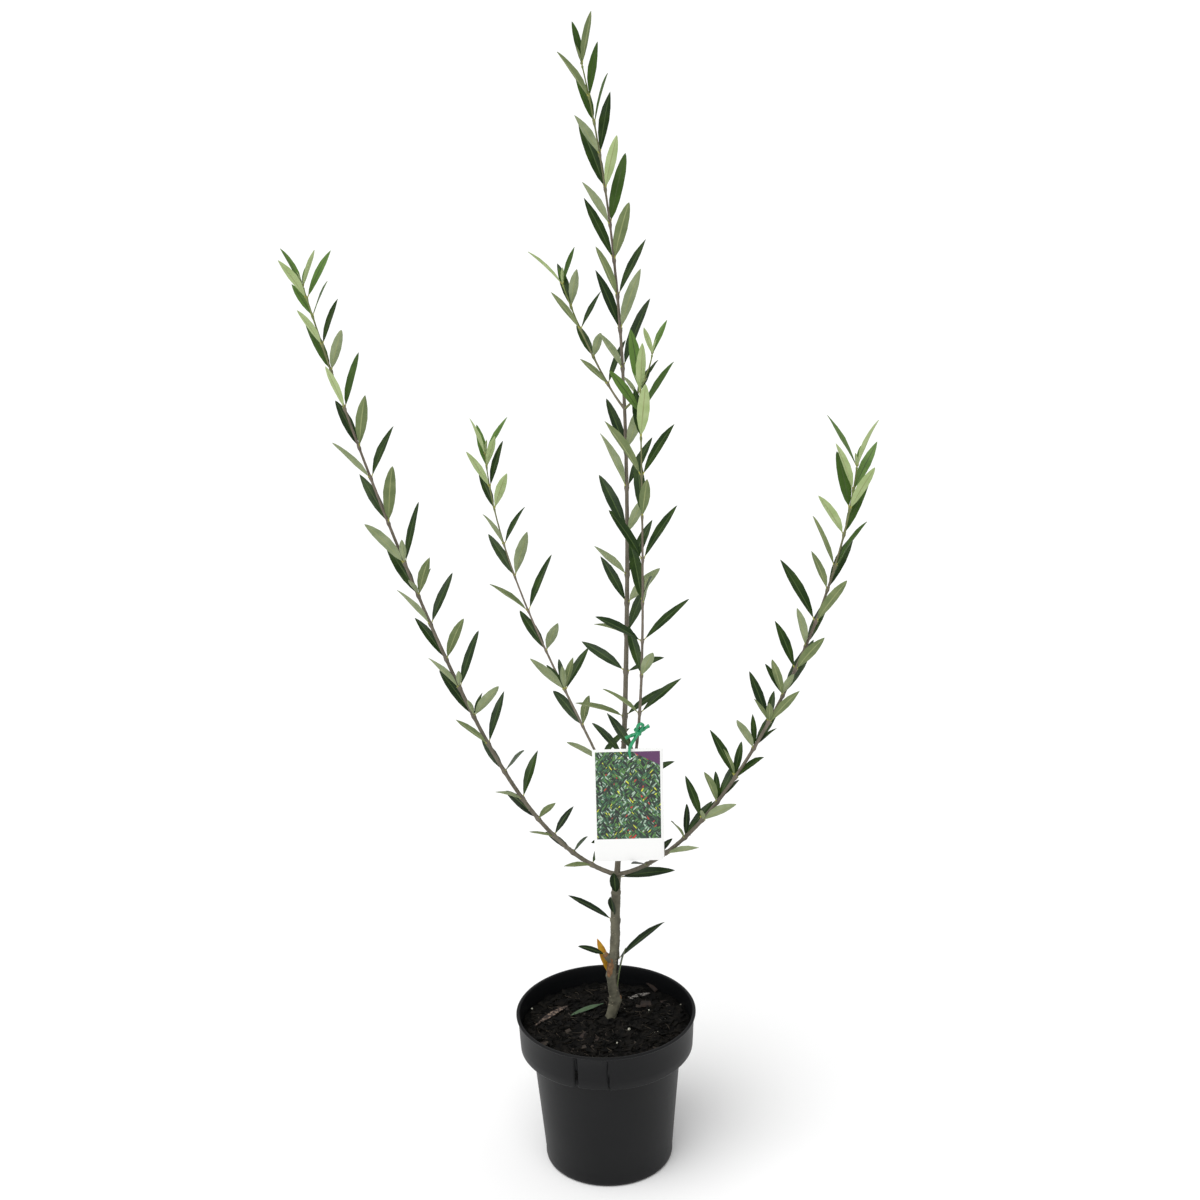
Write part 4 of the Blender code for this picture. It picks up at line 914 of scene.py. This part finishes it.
# The mix lies at the solids' own level, flat by the trunk, with low lumps elsewhere and a fall towards the wall.
# Clods of three sizes lie on top of that.
def mixHeight(x, y):
    rough = 1 - hump(np.maximum(0.0, fromTrunk(x, y) - mix["clear"]), 0, mix["calm"])
    lumps = np.sin(93 * x + 1.3) * np.cos(71 * y) + 0.6 * np.sin(151 * y - 88 * x)
    fall = (np.hypot(x, y) / mix["fall"][0]) ** 4 * mix["fall"][1]
    level = growth["soilLevel"] + rough * (mix["bump"] * lumps / 1.6 - fall)
    flat = np.stack([x, y, np.zeros_like(x)], axis=-1)
    return level + sum(size * softNoise(flat, fineness, seed) for size, fineness, seed in mix["clods"]) - mix["sink"]


def onMix(x, y, rise=0):
    return np.stack([x, y, mixHeight(x, y) + rise], axis=-1)


def makeMix():
    inner = mix["innerRadius"]
    radius = (np.linspace(0, 1, mix["rings"]) ** 0.9 * (mix["radius"] - inner) + inner)[:, None]
    turn = onceRound(mix["sides"])[None]
    top = onMix(radius * np.cos(turn), radius * np.sin(turn))
    skirt = top[-1:] * (1, 1, 0) + mix["floor"] * upwards  # a side wall and a bottom close the plug inside the pot
    shape = (np.concatenate([top, skirt]), *tubeFaces(mix["rings"] + 1, mix["sides"], flip=True))
    makePiece("mixTop", shape, [mixFinish], "potting_mix", ["soil"], sharp=70)


makeMix()


def scattered(count, rng, reach=mix["strewnWithin"]):
    radius, turn = reach * np.sqrt(rng.random(count)), rng.uniform(0, 2 * math.pi, count)
    x, y = radius * np.cos(turn), radius * np.sin(turn)
    keep = fromTrunk(x, y) > mix["clear"]
    return x[keep], y[keep]


# a flat chip is a slab of eight corners, with its ends skewed by the strewing's jitter
corners = np.array([(sx, sy, sz) for sx in (-1, 1) for sy in (-1, 1) for sz in (-1, 1)], float)
cornerFaces = np.array([(0, 1, 3, 2), (4, 6, 7, 5), (0, 4, 5, 1), (2, 3, 7, 6), (0, 2, 6, 4), (1, 5, 7, 3)])
slab = (corners, cornerFaces, [])


def strewChips(name, count, length, finish, seed):
    rng = np.random.default_rng(seed)
    x, y = scattered(count, rng)
    count = len(x)
    third = np.append(rng.normal(0, 0.3, (count, 2)), np.ones((count, 1)), axis=1)
    frames = framesFrom(third, levelWay(rng.uniform(0, 2 * math.pi, count)))
    long = rng.uniform(*length, count) / 2
    wide, thick = long * rng.uniform(*mix["chipWidth"], count), rng.uniform(*mix["chipThick"], count)
    sizes = np.stack([long, wide, thick], axis=1)
    centres = onMix(x, y, rng.uniform(*mix["chipRise"], count))
    inside = np.hypot(x, y) + long < mix["chipsWithin"]
    strewn(name, slab, frames[inside], centres[inside], sizes[inside], finish, "potting_mix", 0.28, seed + 1, 30)


strewChips("barkChips", mix["chips"], (0.003, 0.011), chipFinish, 31)
strewChips("paleChips", mix["paleChips"], (0.003, 0.01), paleChipFinish, 33)

fibres = {
    "count": 170, "length": (0.006, 0.02), "thick": 0.00028, "rows": 7, "reach": 0.08, "within": 0.0905,
    # single ones that catch the eye: place in millimetres, heading and length
    "single": ((64, -3, 3, 17), (67, -10, 38, 12), (40, 17, -6, 18), (-44, 65, -60, 17), (-40, 62, 20, 12),
               (-23, -47, 20, 8), (-11, -48, -15, 7), (86, 46, -70, 12)),
}


# a strand is a thin three-sided tube along a shallow arc that lies on the mix
def makeFibres():
    rng, rows = np.random.default_rng(41), fibres["rows"]
    x, y = scattered(fibres["count"], rng, fibres["reach"])
    turn = rng.uniform(0, math.pi, len(x))
    long = rng.uniform(*fibres["length"], len(x))
    single = np.array(fibres["single"]) / (1000, 1000, 1, 1000)
    x, y = np.append(x, single[:, 0])[:, None], np.append(y, single[:, 1])[:, None]
    way = levelWay(np.append(turn, np.radians(single[:, 2])))[:, None]
    long = np.append(long, single[:, 3])[:, None]
    along = np.linspace(-0.5, 0.5, rows)
    bend = rng.normal(0, 0.16, (len(x), 1)) * long * (1 - 4 * along**2)
    px = x + long * along * way[..., 0] - bend * way[..., 1]
    py = y + long * along * way[..., 1] + bend * way[..., 0]
    keep = np.hypot(px, py).max(axis=1) < fibres["within"]
    middle, side = onMix(px[keep], py[keep]), np.cross(upwards, way[keep])
    middle[..., 2] = (middle[..., 2] + middle[..., 2].max(axis=1, keepdims=True)) / 2 + 0.0004
    radius = fibres["thick"] * (1 - 0.6 * np.abs(along * 2) ** 3)[None, :, None]
    rings = np.stack([middle + radius * circleOf(angle, side, upwards) for angle in (0, 2.09, 4.19)], axis=2)
    shape = joined([(ring, *tubeFaces(rows, 3, flip=True)) for ring in rings])
    makePiece("fibres", shape, [fibreFinish], "potting_mix", sharp=70)


makeFibres()

# white grains: fine grit all over, and a few larger ones as places and size in millimetres
grains = ((25.2, -12.6, 2.1), (11.2, -37.6, 1.5), (48.6, 27.3, 1), (55.3, 27, 0.9), (85, 40, 1.1), (-84, 37, 1.1),
          (-1.4, -47.9, 1), (-30, -60, 0.8))
gritRng = np.random.default_rng(61)
x, y = scattered(16, gritRng)
loose = np.stack([x, y, gritRng.uniform(0.0003, 0.0008, len(x))], axis=1)
x, y, size = np.vstack([loose, np.array(grains) / 1000]).T
frames = framesFrom(gritRng.normal(0, 1, (len(x), 3)), np.array([0.2, 1.0, 0.4]))
sizes = size[:, None] * gritRng.uniform(0.8, 1.15, (len(x), 3))
strewn("whiteGrains", ballShape(5, 8), frames, onMix(x, y, size * 0.5), sizes, gritFinish, "potting_mix", 0.14, 62)


# leaves that have dropped onto the mix, from one place to another, each end lifted a little
def dropLeaf(name, ends, lifts, wide, twist, tones):
    a, b = (onMix(*np.array(end), lift) for end, lift in zip(ends, lifts))
    stem = unit(b - a)
    away = unit(np.cross(np.cross(stem, -upwards), stem))
    makeLeaves(name, [singleLeaf(a, stem, away, -1.0, np.linalg.norm(b - a), twist, wide)], tones=tones)


dropLeaf("driedLeaf", ((-0.08, -0.0015), (-0.0425, 0.0365)), (0.004, 0.0045), 0.56, 0.25, ["leafDried"] * 4)
dropLeaf("droppedLeaf", ((-0.003, 0.0372), (-0.0402, 0.02)), (0.0036, 0.003), 0.66, -0.2,
         ("leafUpperMoss", "leafUnderGreen", "leafMidrib", "leafUpperMoss"))


# single chips and shreds: place in millimetres, heading, length, width and thickness
def layPieces(name, rows, shape, finish, jitter, seed):
    rows = np.array(rows) / (1000, 1000, 1, 1000, 1000, 1000)
    frames = framesFrom(np.tile([0.1, -0.15, 1.0], (len(rows), 1)), levelWay(np.radians(rows[:, 2])))
    centres = onMix(rows[:, 0], rows[:, 1], 0.0012)
    strewn(name, shape, frames, centres, rows[:, 3:] / 2, finish, "potting_mix", jitter, seed, 30)


paleShred = ((40, 61, 20, 23, 5, 1.6), (29, 56, -25, 8, 3.5, 1.4))
redChips = ((45.5, 39, 8, 13, 9, 1.8), (54, 76, -55, 14, 4.5, 1.6), (65, 48, 15, 11, 4.5, 1.4),
            (-25, -23, 60, 12, 5, 1.6), (-12, -33, 75, 10, 3.5, 1.4))
layPieces("paleShred", paleShred, ballShape(7, 10), shredFinish, 0.2, 71)
layPieces("reddishChips", redChips, slab, redChipFinish, 0.3, 72)
print("potting mix made")

tag = {
    "width": 0.074, "height": 0.13, "thickness": 0.0008, "corner": 0.0015,
    "hole": (0.0321, -0.0345, 0.5055), "holeRadius": 0.0028, "holeDrop": 0.0095, "centreX": 0.0295,
    "rows": 10, "sides": 240,
    "edgeShare": 0.0075, "edgeThin": 0.62,  # how much of each ray its rounded ends take, and how thin they are
    "white": (0.86, 0.86, 0.85),
    "border": 0.003,  # white edge round the print
    "printHeight": 0.101,
    "tileScale": (740, 210, 1),
    "lean": (38, -34),  # degrees, by patches
    "patches": 110,
    "greens": ((0.0, (0.003, 0.01, 0.006)), (0.27, (0.012, 0.05, 0.024)), (0.48, (0.034, 0.13, 0.06)),
               (0.66, (0.08, 0.22, 0.045)), (0.84, (0.36, 0.5, 0.38))),
    # the few tiles past these levels are yellow, red or dark
    "fewTiles": ((0.93, (0.62, 0.66, 0.035)), (0.965, (0.5, 0.035, 0.02)), (0.985, (0.055, 0.012, 0.035))),
    "joint": (0.05, (0.006, 0.02, 0.01)),  # thin dark joints between the tiles
    "plum": (0.55, 0.053, (0.09, 0.018, 0.095)),  # the slope of its edge, how far out it lies, and its colour
}


# the card is white; over a rectangle of its front lies a mosaic of green tiles, a few of them yellow, red or
# dark, and a plum corner
def cardFinish():
    made = makeFinish("tagCard", tag["white"], roughness=0.34, coat=(0.25, 0.15))
    tree = made.node_tree

    def maths(kind, *values):
        return addNode(tree, "Math", dict(enumerate(values)), operation=kind).outputs[0]

    def layer(below, above, mask):
        below, above = ((*value, 1) if isinstance(value, tuple) else value for value in (below, above))
        return addNode(tree, "Mix", {6: below, 7: above, 0: mask}, data_type="RGBA").outputs[2]

    middle = tag["hole"][2] + tag["holeDrop"] - tag["border"] - tag["printHeight"] / 2
    place = addNode(tree, "TexCoord").outputs["Object"]
    centre = addNode(tree, "Mapping", {"Location": (-tag["centreX"], 0, -middle), "Vector": place})
    x, y, z = addNode(tree, "SeparateXYZ", {0: centre.outputs["Vector"]}).outputs
    flat = addNode(tree, "CombineXYZ", {0: x, 1: z}).outputs[0]

    # long tiles that lean by an angle: the colour and the distance to the joint of each
    def leaningTiles(angle):
        lean = addNode(tree, "Mapping", {"Rotation": (0, 0, math.radians(angle)), "Vector": flat}).outputs["Vector"]
        long = addNode(tree, "Mapping", {"Scale": tag["tileScale"], "Vector": lean}).outputs["Vector"]
        return [addNode(tree, "TexVoronoi", {"Scale": 1.0, "Vector": long}, feature=feature).outputs[output]
                for feature, output in (("F1", "Color"), ("DISTANCE_TO_EDGE", "Distance"))]

    patches = addNode(tree, "TexNoise", {"Scale": tag["patches"], "Detail": 0, "Vector": flat}).outputs["Fac"]
    which = maths("GREATER_THAN", patches, 0.5)
    (firstTone, firstJoint), (secondTone, secondJoint) = map(leaningTiles, tag["lean"])
    tone = addNode(tree, "SeparateXYZ", {0: layer(firstTone, secondTone, which)}).outputs
    picture = addRamp(tree, tone[0], tag["greens"], "CONSTANT")
    for low, colour in tag["fewTiles"]:
        picture = layer(picture, colour, maths("GREATER_THAN", tone[1], low))
    thin, colour = tag["joint"]
    picture = layer(picture, colour, maths("LESS_THAN", layer(firstJoint, secondJoint, which), thin))
    slope, past, colour = tag["plum"]
    picture = layer(picture, colour, maths("GREATER_THAN", maths("ADD", maths("MULTIPLY", x, slope), z), past))
    inWidth = maths("LESS_THAN", maths("ABSOLUTE", x), tag["width"] / 2 - tag["border"])
    inHeight = maths("LESS_THAN", maths("ABSOLUTE", z), tag["printHeight"] / 2)
    front = maths("LESS_THAN", y, tag["hole"][1])
    inside = maths("MULTIPLY", maths("MULTIPLY", inWidth, inHeight), front)
    tree.links.new(layer(tag["white"], picture, inside), tree.nodes["Principled BSDF"].inputs["Base Color"])
    return made


# The card on a grid of angle round the hole by a ring that runs from the hole's front edge out to the card's
# edge, over it, back in behind and through the hole. Along each ray the distance runs from the hole's radius to
# the rounded rectangle's border.
def makeCard():
    way = levelWay(onceRound(tag["sides"]))[:, :2]
    centre = np.array([tag["hole"][0] - tag["centreX"], tag["height"] / 2 - tag["holeDrop"]])
    half = np.array([tag["width"], tag["height"]]) / 2
    with np.errstate(divide="ignore"):
        reach = np.where(way > 0, (half - centre) / way, (-half - centre) / way)
    edge = centre + way * np.min(np.where(np.abs(way) < 1e-9, 1e9, reach), axis=-1)[:, None]
    near = np.clip(edge, tag["corner"] - half, half - tag["corner"])
    past = edge - near
    far = np.linalg.norm(past, axis=-1, keepdims=True)
    edge = near + past * np.minimum(1, tag["corner"] / np.maximum(far, 1e-9))
    start = centre + way * tag["holeRadius"]
    end, thin = tag["edgeShare"], tag["edgeThin"]
    out = np.concatenate([[0.0], np.linspace(0, 1, tag["rows"]) * (1 - 2 * end) + end, [1.0]])
    rounding = np.array([thin, *[1.0] * tag["rows"], thin])[:, None] * tag["thickness"] / 2
    flat = start[None] + out[:, None, None] * (edge - start)[None]
    frontSide = np.stack([flat[..., 0], np.repeat(-rounding, tag["sides"], 1), flat[..., 1]], axis=-1)
    points = np.concatenate([frontSide, frontSide[::-1] * (1, -1, 1)])
    top = tag["hole"][2] + tag["holeDrop"]
    points = points + (tag["centreX"], tag["hole"][1], top - tag["height"] / 2)
    makePiece("tagCard", tube(points, closed=True), [cardFinish()], "tag_card", ["tag"], sharp=35)


makeCard()

tie = {
    "radius": 0.0013,
    "sides": 12,
    "up": 0.118,
    "ends": ((-0.0135, -0.0016, -0.005), (0.0115, -0.0016, 0.0085)),
    "bow": (0.003, -0.005, 0.0125),
    "bowWidth": 0.0026,
    "hang": 0.8,  # how round the strip lies under the hole's edge
    "ripple": 0.1,  # how much thicker and thinner a twisted strip is
    "bowRoute": ((0.0, -0.2), (0.35, -0.8), (0.75, -1.0), (0.98, 0.0), (0.75, 1.0), (0.35, 0.7), (0.0, 0.3)),
    "knot": 0.0021,
    "thick": {"band": 1.0, "loop": 1.15, "tail": 1.5, "bow": 1.35, "knot": 1.3},
    "twist": 900.0,
}
tieFinish = makeFinish("tieGreen", (0.004, 0.225, 0.082), (0.008, 0.3, 0.12), 260, 0.36,
                       bumps=((1100, 0.35, 0.0004),), coat=(0.2, 0.25))


# points on a smooth curve through the given ones: cubic pieces whose slope at each point is half the step
# between its neighbours
def smoothRoute(points, each, closed):
    points = np.array(points, float)
    ends = (points[-1:], points[:2]) if closed else (points[:1], points[-1:])
    padded = np.vstack([ends[0], points, ends[1]])
    slope = (padded[2:] - padded[:-2]) / 2
    p, q, m, n = (line[:, None] for line in (padded[1:-2], padded[2:-1], slope[:-1], slope[1:]))
    t = (np.arange(each) / each)[:, None]
    route = (2 * t**3 - 3 * t**2 + 1) * p + (t**3 - 2 * t**2 + t) * m + (3 * t**2 - 2 * t**3) * q + (t**3 - t**2) * n
    route = route.reshape(-1, 3)
    return route if closed else np.vstack([route, points[-1:]])


# a round section carried along a route, a little thicker and thinner by turns as a twisted strip is
def strandSurface(route, radius, closed):
    tangent = unit(np.roll(route, -1, 0) - np.roll(route, 1, 0) if closed else np.gradient(route, axis=0))
    normal = np.linalg.svd(route - route.mean(axis=0))[2][2]
    first = unit(normal - tangent * (tangent @ normal)[:, None])
    turn = onceRound(tie["sides"])
    run = np.concatenate([[0], np.cumsum(np.linalg.norm(np.diff(route, axis=0), axis=1))])
    size = radius * (1 + tie["ripple"] * np.cos(2 * turn[None] + tie["twist"] * run[:, None]))
    return route[:, None] + size[..., None] * circleOf(turn, first[:, None], np.cross(tangent, first)[:, None])


def makeTie():
    point, tangent, radius = alongLimb(paths["bough_front"], tie["up"])
    reach = radius + growth["clear"] + tie["radius"] * 1.12
    level = unit(np.cross(tangent, [0.0, -1.0, 0.0]))
    front = np.cross(level, tangent)
    turn = onceRound(16)
    knot = point + front * (reach + tie["radius"])
    hole = np.array(tag["hole"])
    slack = tag["thickness"] / 2 + growth["clear"] * 2 + tie["radius"]
    bend = slack * tie["hang"]
    overEdge = hole[2] + tag["holeDrop"] + tie["radius"]
    high = hole[2] + tag["holeRadius"] * 1.15
    # from the knot down the card's front, through its hole and up behind it
    loop = [knot + (-0.0004, -0.003, 0.0), (hole[0], hole[1] - slack, overEdge), (hole[0], hole[1] - slack, high)]
    for angle in np.radians((225, 270, 315)):
        under = bend * (math.sin(angle) + 1) - tag["holeRadius"] * 0.15
        loop.append(hole + (0, bend * math.cos(angle), under))
    loop += [(hole[0], hole[1] + slack, high), (hole[0], hole[1] + slack, overEdge), knot + (0.0, 0.0008, 0.0)]
    band = point + reach * circleOf(turn, front, level)
    routes = [(smoothRoute(band, 4, True), True, "band"), (smoothRoute(loop, 8, True), True, "loop")]
    for way in tie["ends"]:
        tail = [knot + np.array(way) * s for s in (0.0, 0.35, 0.7, 1.0)]
        tail[2] = tail[2] + (0, -0.0006, 0.0004)
        routes.append((smoothRoute(tail, 8, False), False, "tail"))
    # a narrow bow of the strip stands up from the knot
    bow = [knot + np.array(tie["bow"]) * along + (tie["bowWidth"] * aside, 0, 0) for along, aside in tie["bowRoute"]]
    routes.append((smoothRoute(bow, 6, False), False, "bow"))
    # the knot itself: two small turns of the strip, one across the other
    for lean in (0.5, -0.7):
        side = circleOf(lean, level, tangent)
        other = np.cross(front, side)
        ring = knot - (0, 0.0012, 0) + tie["knot"] * circleOf(turn, side, 0.75 * (other * 0.5 + front * 0.8))
        routes.append((smoothRoute(ring, 3, True), True, "knot"))
    parts = [tube(strandSurface(route, tie["radius"] * tie["thick"][kind] * 0.95, closed), closed)
             for route, closed, kind in routes]
    makePiece("greenTie", joined(parts), [tieFinish], "tie_green", ["tag_tie"], sharp=60)


makeTie()
print("tag and tie made")

# young leaves stand in the corners of some leaves, two on a side shoot too short to show
sprig = {"chance": 0.22, "stretch": (0.16, 0.62), "length": (0.026, 0.039), "open": (18, 42), "spread": 62,
         "wide": 0.95, "rise": 0.0015}
youngLeaves = []
low, high = sprig["stretch"]
for leaf in (leaf for limbName in boughNames[1:] for leaf in settled[limbName]):
    if not low < leaf["share"] < high or dressing.random() > sprig["chance"]:
        continue
    for side in (-1, 1):
        spread = math.radians(side * sprig["spread"])
        away = circleOf(spread, leaf["away"], np.cross(leaf["stem"], leaf["away"]))
        opened, length = dressing.uniform(*sprig["open"]), dressing.uniform(*sprig["length"])
        youngLeaves.append(dict(leaf, root=leaf["root"] + sprig["rise"] * leaf["stem"], away=away, open=opened,
                                twist=0.0, length=length, wide=sprig["wide"]))
makeLeaves("youngLeaves", youngLeaves)
print("young leaves made:", len(youngLeaves))

studio = {
    "floor": 60.0,
    "floorColour": (0.93, 0.93, 0.93),
    "world": 0.62,
    "sun": (2.1, 55, (-0.9, -1.3, 2.6)),
    "camera": (0.0049, -2.0, 1.389),
    "tiltDown": 19.81,
    "roll": -1.45,
    "lens": 61.62,
}
square = np.array([(-1, -1, 0), (1, -1, 0), (1, 1, 0), (-1, 1, 0)]) * studio["floor"] / 2
floorFinish = makeFinish("floorPale", studio["floorColour"], roughness=0.9)
floor = makePiece("floor", (square, np.array([(0, 1, 2, 3)]), []), [floorFinish])
floor.location.z = -0.0005

scene = bpy.context.scene
scene.world = bpy.data.worlds.new("studioWorld")
scene.world.use_nodes = True
background = scene.world.node_tree.nodes["Background"]
background.inputs["Color"].default_value = (1.0, 1.0, 1.0, 1.0)
background.inputs["Strength"].default_value = studio["world"]

strength, spread, fromPlace = studio["sun"]
lamp = bpy.data.lights.new("softSun", "SUN")
lamp.energy, lamp.angle = strength, math.radians(spread)
sun = bpy.data.objects.new("softSun", lamp)
sun.location = fromPlace
sun.rotation_euler = Vector(fromPlace).to_track_quat("Z", "Y").to_euler()
scene.collection.objects.link(sun)

camera = bpy.data.cameras.new("camera")
camera.lens, camera.sensor_width = studio["lens"], 36
viewer = bpy.data.objects.new("camera", camera)
tilt, roll = (Matrix.Rotation(math.radians(angle), 4, axis)
              for angle, axis in ((90 - studio["tiltDown"], "X"), (studio["roll"], "Z")))
viewer.matrix_world = Matrix.Translation(studio["camera"]) @ tilt @ roll
scene.collection.objects.link(viewer)
scene.camera = viewer
scene.view_settings.view_transform = "Standard"

bpy.context.view_layer.update()
